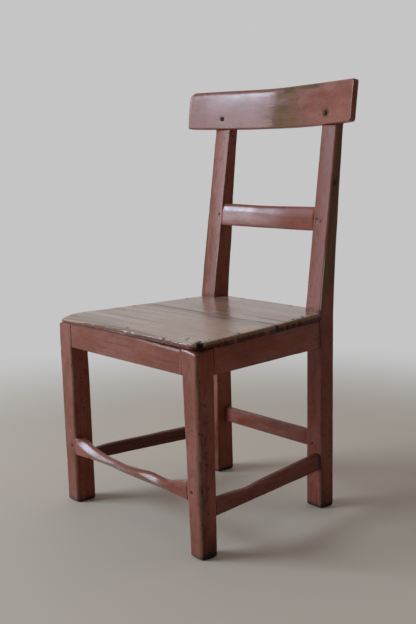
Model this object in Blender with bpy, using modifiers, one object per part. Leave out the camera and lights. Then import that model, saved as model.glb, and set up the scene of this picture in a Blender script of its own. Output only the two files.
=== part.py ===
"""A joined country chair: painted frame, bare two-board seat, raked posts and a bowed crest rail.

Run it with blender --background --python part.py, or from the text editor. Sizes are in metres and
+Z is up. The front of the chair faces -Y, and left is -X, as seen by someone who faces the chair.
While it is built, Y is measured from the front faces of the front legs. At the end the whole chair
is moved so that the origin lies on the floor, under the middle of its box.
"""

from math import atan, cos, pi, radians, sin, sqrt, tan

import bmesh
import bpy
from mathutils import Matrix, Vector

LEFT, RIGHT = -1, 1
SIDE_NAMES = {LEFT: "left", RIGHT: "right"}

# Fits
CLEARANCE = 0.0003  # between any two pieces that touch
TENON_ROOT = 0.004  # how far a tenon is joined into its own rail
CUT_MARGIN = 0.02  # how far a cutter runs past what it cuts

# Plan of the frame
FRONT_WIDTH = 0.467  # across the outsides of the front legs
REAR_WIDTH = 0.3805  # across the outsides of the rear posts
FRAME_DEPTH = 0.3724  # from the front of the front legs to the front of the rear posts' feet

# Seat
SEAT_HEIGHT = 0.425  # top of the seat where it meets the posts
SEAT_FALL = 0.009  # the front edge lies this much lower
SEAT_THICKNESS = 0.016
SEAT_OVERHANG_FRONT = 0.006
SEAT_OVERHANG_SIDE = 0.001
SEAT_CORNER_RADIUS = 0.024
SEAT_CORNER_SPANS = 6
SEAT_EDGE_ROUND = 0.0045
SEAT_JOINT = 0.222  # the open joint between the two boards, from the front of the legs
SEAT_BACK_REACH = 0.0405  # how far the rear board runs back between the posts

# Front legs: from the rail to the foot three faces lean, and the left foot is the thicker one
FRONT_LEG_WIDTH = 0.044
FRONT_LEG_DEPTH = 0.0435
FRONT_LEG_TAPER = 0.007  # the front face goes back by this much
FRONT_LEG_INNER_TAPER = 0.0065  # the inner face goes outwards by this much
LEFT_LEG_BACK_LEAN = 0.008  # the back face goes back by this much
RIGHT_LEG_BACK_LEAN = 0.0015
LEG_ROUND = 0.0035

# Rear posts: the left foot is the thicker one
POST_WIDTH = 0.0435
LEFT_POST_FOOT_DEPTH = 0.048
RIGHT_POST_FOOT_DEPTH = 0.038
POST_SEAT_DEPTH = 0.046
POST_TOP_DEPTH = 0.023
POST_SHOULDER = 0.0046  # the front face comes forward by this much at the seat
POST_RAKE = radians(7.2)
POST_TAPER_POWER = 1.2  # above 1, the taper is faster just above the seat
POST_BELOW_CREST_TOP = 0.010
POST_ROUND = 0.003
POST_SPANS = 10

# Seat rails
RAIL_HEIGHT = 0.0497  # of the front rail, whose underside all four share
RAIL_THICKNESS = 0.022
RAIL_INSET = 0.002  # side rails, behind the outer faces of the legs and posts
REAR_RAIL_SETBACK = 0.014  # from the front of the posts
RAIL_ROUND = 0.0015
RAIL_TENON_THICKNESS = 0.008
RAIL_TENON_LENGTH = 0.020
RAIL_TENON_SHOULDER = 0.010  # below and above a rail's tenons

# Front stretcher
FRONT_STRETCHER_BOTTOM = 0.111
FRONT_STRETCHER_HEIGHT = 0.037
FRONT_STRETCHER_THICKNESS = 0.022
FRONT_STRETCHER_TENON_THICKNESS = 0.009
FRONT_STRETCHER_TENON_SHOULDER = 0.003
FRONT_STRETCHER_WAIST_HEIGHT = 0.017
FRONT_STRETCHER_WAIST_THICKNESS = 0.017
FRONT_STRETCHER_WAIST_LIFT = 0.003  # the underside rises this much in the middle
FRONT_STRETCHER_FLARE = 0.078  # length over which each end swells
FRONT_STRETCHER_ROUND = 0.0055
FRONT_STRETCHER_SPANS = 20

# Side stretchers: the left one is slimmer, and the right one is worn hollow
LEFT_STRETCHER_FRONT_BOTTOM = 0.0845
LEFT_STRETCHER_FRONT_TOP = 0.108
LEFT_STRETCHER_REAR_BOTTOM = 0.0905
LEFT_STRETCHER_REAR_TOP = 0.113
LEFT_STRETCHER_WEAR = 0.001  # depth of the hollow worn in the top edge
RIGHT_STRETCHER_FRONT_BOTTOM = 0.079
RIGHT_STRETCHER_FRONT_TOP = 0.1205
RIGHT_STRETCHER_REAR_BOTTOM = 0.0845
RIGHT_STRETCHER_REAR_TOP = 0.1205
RIGHT_STRETCHER_WEAR = 0.007
SIDE_STRETCHER_THICKNESS = 0.020
SIDE_STRETCHER_INSET = 0.0015
SIDE_STRETCHER_WEAR_MIDDLE = 0.11  # from the front leg
SIDE_STRETCHER_WEAR_REACH = 0.10
SIDE_STRETCHER_ROUND = 0.0035
SIDE_STRETCHER_TENON_SHOULDER = 0.0035
SIDE_STRETCHER_SPANS = 16

# Rear stretcher
REAR_STRETCHER_BOTTOM = 0.123
REAR_STRETCHER_HEIGHT = 0.0344
REAR_STRETCHER_THICKNESS = 0.014
REAR_STRETCHER_SETBACK = 0.0236  # from the front of the posts' feet
REAR_STRETCHER_TENON_THICKNESS = 0.007
REAR_STRETCHER_TENON_SHOULDER = 0.005
REAR_STRETCHER_ROUND = 0.003

# Mid rail
MID_RAIL_BOTTOM = 0.5925
MID_RAIL_HEIGHT = 0.0505
MID_RAIL_THICKNESS = 0.015
MID_RAIL_BOW_RADIUS = 2.6
MID_RAIL_ROUND = 0.005
MID_RAIL_TENON_THICKNESS = 0.007
MID_RAIL_TENON_SHOULDER = 0.007
MID_RAIL_TENON_LENGTH = 0.024
MID_RAIL_SPANS = 12

# Crest rail
CREST_BOTTOM = 0.810  # at the posts
CREST_LENGTH = 0.511
CREST_HEIGHT = 0.084  # at its ends
CREST_ARCH = 0.004  # its top edge rises by this much in the middle
CREST_THICKNESS = 0.017
CREST_BOW_RADIUS = 0.800
CREST_PROUD = 0.010  # its front stands this far in front of the posts
CREST_ROUND = 0.005
CREST_SPANS = 26

# Pegs
PEG_DIAMETER = 0.006
PEG_PROUD = 0.0006
PEG_SIDES = 12
FRONT_STRETCHER_PEG_INSET = 0.0135  # from the inner face of the leg
REAR_STRETCHER_PEG_INSET = 0.0166  # from the inner face of the post
MID_RAIL_PEG_INSET = 0.009  # from the inner face of the post
PEG_PAST_TENON = 0.0035  # how far a peg runs on beyond the tenon that it pins

# Nails
NAIL_SIDES = 12
CREST_NAIL_HEAD = 0.010
CREST_NAIL_HEAD_HEIGHT = 0.003
CREST_NAIL_SHANK = 0.004
CREST_NAIL_IN_POST = 0.009
CREST_NAIL_RISE = 0.0235  # above the bottom edge of the crest rail
CREST_NAIL_INSET = 0.0158  # from the inner face of the post
SEAT_NAIL_HEAD = 0.0065
SEAT_NAIL_HEAD_HEIGHT = 0.0016
SEAT_NAIL_SUNK = 0.0006  # its crown lies this far under the seat
SEAT_NAIL_SHANK = 0.0032
SEAT_NAIL_LENGTH = 0.036
FRONT_NAIL_1 = 0.008  # to the right of the middle
REAR_NAIL_1 = -0.083  # to the right of the middle
REAR_NAIL_2 = 0.074
LEFT_NAIL_1 = 0.179  # back along the side, from the front
LEFT_NAIL_2 = 0.317
LEFT_NAIL_INSET = 0.011  # from the outer face of the side rail
RIGHT_NAIL_1 = 0.120
RIGHT_NAIL_2 = 0.286
RIGHT_NAIL_3 = 0.318
RIGHT_NAIL_INSET = 0.006
LEFT_LEG_NAIL_INSET = 0.0185  # from the leg's outer face
LEFT_LEG_NAIL_BACK = 0.0205  # from its front
RIGHT_LEG_NAIL_INSET = 0.0115
RIGHT_LEG_NAIL_BACK = 0.018

# Colours, linear: the front faces are old red paint and the seat is bare
RED_PAINT = (0.235, 0.083, 0.070, 1.0)
BARE_SEAT = (0.230, 0.165, 0.118, 1.0)
DARK_IRON = (0.030, 0.026, 0.026, 1.0)
PAINT_ROUGHNESS = 0.42
SEAT_ROUGHNESS = 0.5
IRON_ROUGHNESS = 0.5
IRON_METALLIC = 0.8

# Corners: edges sharper than the first are rounded, and shading breaks past the second
ROUND_PAST = radians(30)
SHARP_PAST = radians(40)

# Places that several pieces share
RAIL_BOTTOM = SEAT_HEIGHT - SEAT_FALL - SEAT_THICKNESS - RAIL_HEIGHT
LEG_INNER = FRONT_WIDTH / 2 - FRONT_LEG_WIDTH  # at the rail
POST_INNER = REAR_WIDTH / 2 - POST_WIDTH
POST_FRONT_AT_SEAT = FRAME_DEPTH - POST_SHOULDER
CREST_MIDDLE_OF_POST = POST_INNER + POST_WIDTH / 2


def post_front(z):
    """How far back the front face of a rear post lies at this height."""
    if z <= RAIL_BOTTOM:
        return FRAME_DEPTH
    if z <= SEAT_HEIGHT:
        return FRAME_DEPTH - POST_SHOULDER * (z - RAIL_BOTTOM) / (SEAT_HEIGHT - RAIL_BOTTOM)
    return POST_FRONT_AT_SEAT + (z - SEAT_HEIGHT) * tan(POST_RAKE)


def post_back(side, z):
    """How far back the rear face of a rear post lies at this height."""
    if z <= SEAT_HEIGHT:
        foot = FRAME_DEPTH + (LEFT_POST_FOOT_DEPTH if side == LEFT else RIGHT_POST_FOOT_DEPTH)
        at_seat = POST_FRONT_AT_SEAT + POST_SEAT_DEPTH
        return foot + (at_seat - foot) * z / SEAT_HEIGHT
    left_to_go = max(0.0, (CREST_BOTTOM - z) / (CREST_BOTTOM - SEAT_HEIGHT))
    taper = (POST_SEAT_DEPTH - POST_TOP_DEPTH) * left_to_go**POST_TAPER_POWER
    return post_front(z) + POST_TOP_DEPTH + taper


def towards_foot(z):
    """0 where a front leg meets the rails, and 1 at the floor."""
    return max(0.0, 1 - z / RAIL_BOTTOM)


def leg_front(z):
    """How far back the front face of a front leg lies at this height."""
    return FRONT_LEG_TAPER * towards_foot(z)


def leg_back(side, z):
    """How far back the rear face of a front leg lies at this height."""
    lean = LEFT_LEG_BACK_LEAN if side == LEFT else RIGHT_LEG_BACK_LEAN
    return FRONT_LEG_DEPTH + lean * towards_foot(z)


def leg_inner(z):
    """How far from the middle the inner face of a front leg lies at this height."""
    return LEG_INNER + FRONT_LEG_INNER_TAPER * towards_foot(z)


def seat_top(y):
    return SEAT_HEIGHT - SEAT_FALL * (1 - y / POST_FRONT_AT_SEAT)


def seat_underside(y):
    return seat_top(y) - SEAT_THICKNESS


def frame_half_width(y):
    """Half the frame's width, on the line from a front leg's outer face to a post's."""
    along = (y - FRONT_LEG_DEPTH) / (FRAME_DEPTH - FRONT_LEG_DEPTH)
    return (FRONT_WIDTH + (REAR_WIDTH - FRONT_WIDTH) * along) / 2


def bow(x, radius):
    """How far a bowed rail comes forward at x, against its middle."""
    return sqrt(radius**2 - x**2) - radius


def evenly(low, high, spans):
    """The places that cut a length into equal spans."""
    return [low + (high - low) * step / spans for step in range(1, spans)]


def smooth(t):
    """0 up to t = 0, 1 from t = 1, and a soft step between."""
    t = min(1.0, max(0.0, t))
    return t * t * (3 - 2 * t)


def clear_scene():
    for obj in list(bpy.data.objects):
        bpy.data.objects.remove(obj)


def add_collection(name, for_render):
    collection = bpy.data.collections.new(name)
    collection.hide_render = not for_render
    bpy.context.scene.collection.children.link(collection)
    return collection


clear_scene()
CHAIR = add_collection("carpenters_chair", True)
CUTTERS = add_collection("carpenters_chair_cutters", False)
ORIGIN = bpy.data.objects.new("carpenters_chair_origin", None)
CHAIR.objects.link(ORIGIN)


def add_object(name, mesh, matrix=None, helper=False):
    """Links an object under the chair's origin. A helper is a cutter or a tenon, left out of renders."""
    obj = bpy.data.objects.new(name, mesh)
    obj.parent = ORIGIN
    if matrix is not None:
        obj.matrix_local = matrix
    (CUTTERS if helper else CHAIR).objects.link(obj)
    if helper:
        obj.hide_render = True
        obj.display_type = "WIRE"
    return obj


def mesh_from(name, bm):
    mesh = bpy.data.meshes.new(name)
    bm.to_mesh(mesh)
    bm.free()
    return mesh


def plank(name, low, high, cuts=None, shape=None, matrix=None, helper=False):
    """A board: a box from corner to corner, cut across at places along one axis, then shaped.

    cuts is (axis, places), and shape moves each point of the box. Without a matrix of its own, the
    object's origin goes to the middle of the finished board.
    """
    low, high = Vector(low), Vector(high)
    box = Matrix.Translation((low + high) / 2) @ Matrix.Diagonal((*(high - low), 1))
    bm = bmesh.new()
    bmesh.ops.create_cube(bm, size=1, matrix=box)
    if cuts:
        axis, places = cuts
        normal = Vector((0, 0, 0))
        normal[axis] = 1
        for place in places:
            everything = bm.verts[:] + bm.edges[:] + bm.faces[:]
            bmesh.ops.bisect_plane(bm, geom=everything, plane_co=normal * place, plane_no=normal)
    if shape:
        for vert in bm.verts:
            vert.co = shape(vert.co)
        bm.normal_update()
        bmesh.ops.recalc_face_normals(bm, faces=bm.faces)
    if matrix is None:
        middle = sum((vert.co for vert in bm.verts), Vector()) / len(bm.verts)
        bmesh.ops.translate(bm, verts=bm.verts, vec=-middle)
        matrix = Matrix.Translation(middle)
    return add_object(name, mesh_from(name, bm), matrix, helper)


def finish(obj, colour, roughness, metallic=0.0):
    """Gives the object a material of its own."""
    material = bpy.data.materials.new(obj.name + "_finish")
    material.use_nodes = True
    shader = material.node_tree.nodes["Principled BSDF"]
    shader.inputs["Base Color"].default_value = colour
    shader.inputs["Roughness"].default_value = roughness
    shader.inputs["Metallic"].default_value = metallic
    material.diffuse_color = colour
    obj.data.materials.append(material)
    return obj


def paint(obj):
    return finish(obj, RED_PAINT, PAINT_ROUGHNESS)


def soften_all(obj, width, segments=2):
    """Rounds every sharp edge."""
    bevel = obj.modifiers.new("worn_edges", "BEVEL")
    bevel.width = width
    bevel.segments = segments
    bevel.limit_method = "ANGLE"
    bevel.angle_limit = ROUND_PAST


def soften_arrises(obj, axis, width, segments=2):
    """Rounds the long edges along one axis, and leaves the shoulders square."""
    bm = bmesh.new()
    bm.from_mesh(obj.data)
    weight = bm.edges.layers.float.new("bevel_weight_edge")
    for edge in bm.edges:
        along = edge.verts[1].co - edge.verts[0].co
        edge[weight] = float(abs(along[axis]) > 0.7 * along.length)
    bm.to_mesh(obj.data)
    bm.free()
    bevel = obj.modifiers.new("worn_arrises", "BEVEL")
    bevel.width = width
    bevel.segments = segments
    bevel.limit_method = "WEIGHT"


def boolean(obj, other, operation):
    """Joins or cuts with one more helper. All the joins of a piece are one step, and so are its cuts."""
    name = f"{obj.name}_{operation.lower()}"
    helpers = bpy.data.collections.get(name)
    if helpers is None:
        helpers = bpy.data.collections.new(name)
        CUTTERS.children.link(helpers)
        modifier = obj.modifiers.new(name, "BOOLEAN")
        modifier.operation = operation
        modifier.operand_type = "COLLECTION"
        modifier.collection = helpers
        modifier.solver = "EXACT"
    helpers.objects.link(other)


def mortise_and_tenon(rail, leg, low, high, shape=None, matrix=None):
    """Joins a tenon to the rail and cuts its mortise, wider all round, in the leg."""
    name = f"{rail.name}_in_{leg.name}"
    low, high = Vector(low), Vector(high)
    tenon = plank(name + "_tenon", low, high, shape=shape, matrix=matrix, helper=True)
    boolean(rail, tenon, "UNION")
    wider = Vector((CLEARANCE,) * 3)
    mortise = plank(name + "_mortise", low - wider, high + wider, shape=shape, matrix=matrix, helper=True)
    boolean(leg, mortise, "DIFFERENCE")


def turned(name, outline):
    """A mesh turned about Z from half an outline, given from its crown down to its point."""
    mesh = bpy.data.meshes.new(name + "_outline")
    edges = [(i, i + 1) for i in range(len(outline) - 1)]
    mesh.from_pydata([(radius, 0, z) for radius, z in outline], edges, [])
    obj = bpy.data.objects.new(name + "_outline", mesh)
    CUTTERS.objects.link(obj)
    screw = obj.modifiers.new("turn", "SCREW")
    screw.steps = screw.render_steps = NAIL_SIDES
    screw.use_merge_vertices = True
    screw.merge_threshold = 0.00001
    turned_mesh = bpy.data.meshes.new_from_object(obj.evaluated_get(bpy.context.evaluated_depsgraph_get()))
    turned_mesh.name = name
    turned_mesh.shade_smooth()
    turned_mesh.set_sharp_from_angle(angle=SHARP_PAST)
    bpy.data.objects.remove(obj)
    return turned_mesh


def round_bar(name, radius, top, bottom, matrix, helper=False):
    """A round bar along its own Z, from top down to bottom."""
    bm = bmesh.new()
    bmesh.ops.create_cone(
        bm,
        cap_ends=True,
        segments=PEG_SIDES,
        radius1=radius,
        radius2=radius,
        depth=top - bottom,
        matrix=Matrix.Translation((0, 0, (top + bottom) / 2)),
    )
    mesh = mesh_from(name, bm)
    mesh.shade_smooth()
    mesh.set_sharp_from_angle(angle=SHARP_PAST)
    return add_object(name, mesh, matrix, helper)


def peg(name, matrix, length, pieces):
    """A wooden pin whose head end lies at the matrix, running in along -Z through the pieces."""
    radius = PEG_DIAMETER / 2
    pin = paint(round_bar(name, radius, PEG_PROUD, -length, matrix))
    hole = round_bar(name + "_hole", radius + CLEARANCE, CUT_MARGIN, -length - CLEARANCE, matrix, helper=True)
    for piece in pieces:
        boolean(piece, hole, "DIFFERENCE")
    return pin


def nail_outline(head_radius, head_height, shank_radius, length):
    """Half a nail: a domed head over a tapering shank. The head sits on z = 0."""
    return [
        (0.0, head_height),
        (0.55 * head_radius, 0.85 * head_height),
        (0.90 * head_radius, 0.45 * head_height),
        (head_radius, 0.0),
        (shank_radius, 0.0),
        (0.8 * shank_radius, -0.7 * length),
        (0.0, -length),
    ]


def nails_in_front():
    """Where -Z of a fastener points straight back, so that its head faces the front."""
    return Matrix.Rotation(pi / 2, 4, "X")


def under_seat(point):
    """Lets the top of a leg or rail follow the slope of the seat."""
    x, y, z = point
    is_top = z > (RAIL_BOTTOM + SEAT_HEIGHT) / 2
    return Vector((x, y, seat_underside(y) - CLEARANCE if is_top else z))


def make_front_leg(side):
    outer = FRONT_WIDTH / 2
    x_low, x_high = sorted((side * LEG_INNER, side * outer))

    def shape(point):
        x, y, z = under_seat(point)
        is_inner = abs(x) < (LEG_INNER + outer) / 2
        is_back = y > FRONT_LEG_DEPTH / 2
        return Vector((side * leg_inner(z) if is_inner else x, leg_back(side, z) if is_back else leg_front(z), z))

    leg = plank(
        f"front_leg_{SIDE_NAMES[side]}",
        (x_low, 0, 0),
        (x_high, FRONT_LEG_DEPTH, SEAT_HEIGHT),
        cuts=(2, [RAIL_BOTTOM]),
        shape=shape,
    )
    soften_all(leg, LEG_ROUND)
    return paint(leg)


def make_rear_post(side):
    outer = REAR_WIDTH / 2
    x_low, x_high = sorted((side * POST_INNER, side * outer))
    top = CREST_BOTTOM + CREST_HEIGHT * cos(POST_RAKE) - POST_BELOW_CREST_TOP

    def shape(point):
        x, y, z = point
        return Vector((x, post_back(side, z) if y > 0.5 else post_front(z), z))

    post = plank(
        f"rear_post_{SIDE_NAMES[side]}",
        (x_low, 0, 0),
        (x_high, 1, top),
        cuts=(2, [RAIL_BOTTOM, SEAT_HEIGHT, *evenly(SEAT_HEIGHT, CREST_BOTTOM, POST_SPANS), CREST_BOTTOM]),
        shape=shape,
    )
    soften_all(post, POST_ROUND)
    return paint(post)


def make_front_rail(legs):
    shoulder = LEG_INNER - CLEARANCE
    rail = plank(
        "front_seat_rail",
        (-shoulder, 0, RAIL_BOTTOM),
        (shoulder, RAIL_THICKNESS, SEAT_HEIGHT),
        shape=under_seat,
    )
    soften_arrises(rail, 0, RAIL_ROUND)
    middle = RAIL_THICKNESS / 2
    for side, leg in legs.items():
        ends = sorted((side * (shoulder - TENON_ROOT), side * (LEG_INNER + RAIL_TENON_LENGTH)))
        mortise_and_tenon(
            rail,
            leg,
            (ends[0], middle - RAIL_TENON_THICKNESS / 2, RAIL_BOTTOM + RAIL_TENON_SHOULDER),
            (ends[1], middle + RAIL_TENON_THICKNESS / 2, seat_underside(0) - RAIL_TENON_SHOULDER),
        )
    return paint(rail)


def make_rear_rail(posts):
    shoulder = POST_INNER - CLEARANCE
    front = FRAME_DEPTH + REAR_RAIL_SETBACK
    rail = plank(
        "rear_seat_rail",
        (-shoulder, front, RAIL_BOTTOM),
        (shoulder, front + RAIL_THICKNESS, SEAT_HEIGHT),
        shape=under_seat,
    )
    soften_arrises(rail, 0, RAIL_ROUND)
    middle = front + RAIL_THICKNESS / 2
    for side, post in posts.items():
        ends = sorted((side * (shoulder - TENON_ROOT), side * (POST_INNER + RAIL_TENON_LENGTH)))
        mortise_and_tenon(
            rail,
            post,
            (ends[0], middle - RAIL_TENON_THICKNESS / 2, RAIL_BOTTOM + RAIL_TENON_SHOULDER),
            (ends[1], middle + RAIL_TENON_THICKNESS / 2, seat_underside(middle) - RAIL_TENON_SHOULDER),
        )
    return paint(rail)


def splayed(side, inset):
    """Leans a board that runs back along Y so that it follows the side of the frame.

    The board is drawn with its outer face at x = 0 and its thickness towards +X.
    """

    def shape(point):
        x, y, z = point
        return Vector((side * (frame_half_width(y) - inset - x), y, z))

    return shape


def make_side_rail(side, leg, post):
    follow_frame = splayed(side, RAIL_INSET)

    def shape(point):
        x, y, z = under_seat(point)
        is_rear = y > FRAME_DEPTH / 2
        return follow_frame((x, post_front(z) - CLEARANCE if is_rear else y, z))

    rail = plank(
        f"side_seat_rail_{SIDE_NAMES[side]}",
        (0, FRONT_LEG_DEPTH + CLEARANCE, RAIL_BOTTOM),
        (RAIL_THICKNESS, FRAME_DEPTH, SEAT_HEIGHT),
        shape=shape,
    )
    soften_arrises(rail, 1, RAIL_ROUND)
    low_x = (RAIL_THICKNESS - RAIL_TENON_THICKNESS) / 2
    bottom = RAIL_BOTTOM + RAIL_TENON_SHOULDER
    top = seat_underside(0) - RAIL_TENON_SHOULDER
    front = (FRONT_LEG_DEPTH - RAIL_TENON_LENGTH, FRONT_LEG_DEPTH + TENON_ROOT)
    rear = (POST_FRONT_AT_SEAT - TENON_ROOT, FRAME_DEPTH + RAIL_TENON_LENGTH)
    for other, (y_low, y_high) in ((leg, front), (post, rear)):
        mortise_and_tenon(
            rail,
            other,
            (low_x, y_low, bottom),
            (low_x + RAIL_TENON_THICKNESS, y_high, top),
            shape=follow_frame,
        )
    return paint(rail)


def make_side_stretcher(side, leg, post):
    follow_frame = splayed(side, SIDE_STRETCHER_INSET)
    if side == LEFT:
        bottoms = LEFT_STRETCHER_FRONT_BOTTOM, LEFT_STRETCHER_REAR_BOTTOM
        tops = LEFT_STRETCHER_FRONT_TOP, LEFT_STRETCHER_REAR_TOP
        wear = LEFT_STRETCHER_WEAR
    else:
        bottoms = RIGHT_STRETCHER_FRONT_BOTTOM, RIGHT_STRETCHER_REAR_BOTTOM
        tops = RIGHT_STRETCHER_FRONT_TOP, RIGHT_STRETCHER_REAR_TOP
        wear = RIGHT_STRETCHER_WEAR
    front = leg_back(side, min(bottoms)) + CLEARANCE
    rear = FRAME_DEPTH - CLEARANCE

    def shape(point):
        x, y, z = point
        along = (y - front) / (rear - front)
        from_middle = abs(y - FRONT_LEG_DEPTH - SIDE_STRETCHER_WEAR_MIDDLE)
        worn = wear * smooth(1 - from_middle / SIDE_STRETCHER_WEAR_REACH)
        if z > 0.5:
            z = tops[0] + along * (tops[1] - tops[0]) - worn
        else:
            z = bottoms[0] + along * (bottoms[1] - bottoms[0])
        if along < 0.5 / SIDE_STRETCHER_SPANS:
            y = leg_back(side, z) + CLEARANCE
        return follow_frame((x, y, z))

    stretcher = plank(
        f"side_stretcher_{SIDE_NAMES[side]}",
        (0, front, 0),
        (SIDE_STRETCHER_THICKNESS, rear, 1),
        cuts=(1, evenly(front, rear, SIDE_STRETCHER_SPANS)),
        shape=shape,
    )
    soften_arrises(stretcher, 1, SIDE_STRETCHER_ROUND)
    low_x = (SIDE_STRETCHER_THICKNESS - RAIL_TENON_THICKNESS) / 2
    top = min(tops) - SIDE_STRETCHER_TENON_SHOULDER
    bottom = max(bottoms) + SIDE_STRETCHER_TENON_SHOULDER
    in_leg = (FRONT_LEG_DEPTH - RAIL_TENON_LENGTH, front + TENON_ROOT)
    in_post = (FRAME_DEPTH - TENON_ROOT, FRAME_DEPTH + RAIL_TENON_LENGTH)
    for other, (y_low, y_high) in ((leg, in_leg), (post, in_post)):
        mortise_and_tenon(
            stretcher,
            other,
            (low_x, y_low, bottom),
            (low_x + RAIL_TENON_THICKNESS, y_high, top),
            shape=follow_frame,
        )
    return paint(stretcher)


def make_front_stretcher(legs):
    bottom = FRONT_STRETCHER_BOTTOM
    top = bottom + FRONT_STRETCHER_HEIGHT
    shoulder = leg_inner(top) - CLEARANCE
    front = leg_front(bottom)
    middle = front + FRONT_STRETCHER_THICKNESS / 2

    def shape(point):
        x, y, z = point
        worn = smooth((shoulder - abs(x)) / FRONT_STRETCHER_FLARE)
        thinner = 1 - worn * (1 - FRONT_STRETCHER_WAIST_THICKNESS / FRONT_STRETCHER_THICKNESS)
        lift = worn * FRONT_STRETCHER_WAIST_LIFT
        height = FRONT_STRETCHER_HEIGHT - worn * (FRONT_STRETCHER_HEIGHT - FRONT_STRETCHER_WAIST_HEIGHT)
        z = bottom + lift + (height if z > (bottom + top) / 2 else 0)
        is_end = abs(x) > shoulder * (1 - 1 / FRONT_STRETCHER_SPANS)
        if is_end:
            x = (leg_inner(z) - CLEARANCE) * (RIGHT if x > 0 else LEFT)
        return Vector((x, middle + (y - middle) * thinner, z))

    stretcher = plank(
        "front_stretcher",
        (-shoulder, front, bottom),
        (shoulder, front + FRONT_STRETCHER_THICKNESS, top),
        cuts=(0, evenly(-shoulder, shoulder, FRONT_STRETCHER_SPANS)),
        shape=shape,
    )
    soften_arrises(stretcher, 0, FRONT_STRETCHER_ROUND, segments=3)
    half = FRONT_STRETCHER_TENON_THICKNESS / 2
    for side, leg in legs.items():
        ends = sorted((side * (shoulder - TENON_ROOT), side * FRONT_WIDTH / 2))
        mortise_and_tenon(
            stretcher,
            leg,
            (ends[0], middle - half, bottom + FRONT_STRETCHER_TENON_SHOULDER),
            (ends[1], middle + half, top - FRONT_STRETCHER_TENON_SHOULDER),
        )
        peg_z = (bottom + top) / 2
        at = Vector((side * (leg_inner(peg_z) + FRONT_STRETCHER_PEG_INSET), leg_front(peg_z), peg_z))
        length = middle + half + PEG_PAST_TENON - at.y
        name = f"front_stretcher_peg_{SIDE_NAMES[side]}"
        peg(name, Matrix.Translation(at) @ nails_in_front(), length, (leg, stretcher))
    return paint(stretcher)


def make_rear_stretcher(posts):
    shoulder = POST_INNER - CLEARANCE
    bottom = REAR_STRETCHER_BOTTOM
    top = bottom + REAR_STRETCHER_HEIGHT
    front = FRAME_DEPTH + REAR_STRETCHER_SETBACK
    stretcher = plank(
        "rear_stretcher",
        (-shoulder, front, bottom),
        (shoulder, front + REAR_STRETCHER_THICKNESS, top),
    )
    soften_arrises(stretcher, 0, REAR_STRETCHER_ROUND)
    middle = front + REAR_STRETCHER_THICKNESS / 2
    half = REAR_STRETCHER_TENON_THICKNESS / 2
    for side, post in posts.items():
        ends = sorted((side * (shoulder - TENON_ROOT), side * (POST_INNER + RAIL_TENON_LENGTH)))
        mortise_and_tenon(
            stretcher,
            post,
            (ends[0], middle - half, bottom + REAR_STRETCHER_TENON_SHOULDER),
            (ends[1], middle + half, top - REAR_STRETCHER_TENON_SHOULDER),
        )
        peg_z = (bottom + top) / 2
        at = Vector((side * (POST_INNER + REAR_STRETCHER_PEG_INSET), FRAME_DEPTH, peg_z))
        length = middle + half + PEG_PAST_TENON / 2 - at.y
        name = f"rear_stretcher_peg_{SIDE_NAMES[side]}"
        peg(name, Matrix.Translation(at) @ nails_in_front(), length, (post, stretcher))
    return paint(stretcher)


def raked(y, z):
    """A frame on the posts' slope: its Z runs up the posts and its Y goes straight in from their front."""
    return Matrix.Translation((0, y, z)) @ Matrix.Rotation(-POST_RAKE, 4, "X")


def make_mid_rail(posts):
    shoulder = POST_INNER - CLEARANCE
    on_posts = raked(post_front(MID_RAIL_BOTTOM), MID_RAIL_BOTTOM)

    def shape(point):
        x, y, z = point
        back = bow(x, MID_RAIL_BOW_RADIUS) - bow(POST_INNER, MID_RAIL_BOW_RADIUS)
        return Vector((x, y + back, z))

    rail = plank(
        "mid_rail",
        (-shoulder, 0, 0),
        (shoulder, MID_RAIL_THICKNESS, MID_RAIL_HEIGHT),
        cuts=(0, evenly(-shoulder, shoulder, MID_RAIL_SPANS)),
        shape=shape,
        matrix=on_posts,
    )
    soften_arrises(rail, 0, MID_RAIL_ROUND, segments=3)
    middle = MID_RAIL_THICKNESS / 2
    half = MID_RAIL_TENON_THICKNESS / 2
    for side, post in posts.items():
        ends = sorted((side * (shoulder - TENON_ROOT), side * (POST_INNER + MID_RAIL_TENON_LENGTH)))
        mortise_and_tenon(
            rail,
            post,
            (ends[0], middle - half, MID_RAIL_TENON_SHOULDER),
            (ends[1], middle + half, MID_RAIL_HEIGHT - MID_RAIL_TENON_SHOULDER),
            matrix=on_posts,
        )
        at = Vector((side * (POST_INNER + MID_RAIL_PEG_INSET), 0, MID_RAIL_HEIGHT / 2))
        length = middle + half + PEG_PAST_TENON
        name = f"mid_rail_peg_{SIDE_NAMES[side]}"
        peg(name, on_posts @ Matrix.Translation(at) @ nails_in_front(), length, (post, rail))
    return paint(rail)


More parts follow.
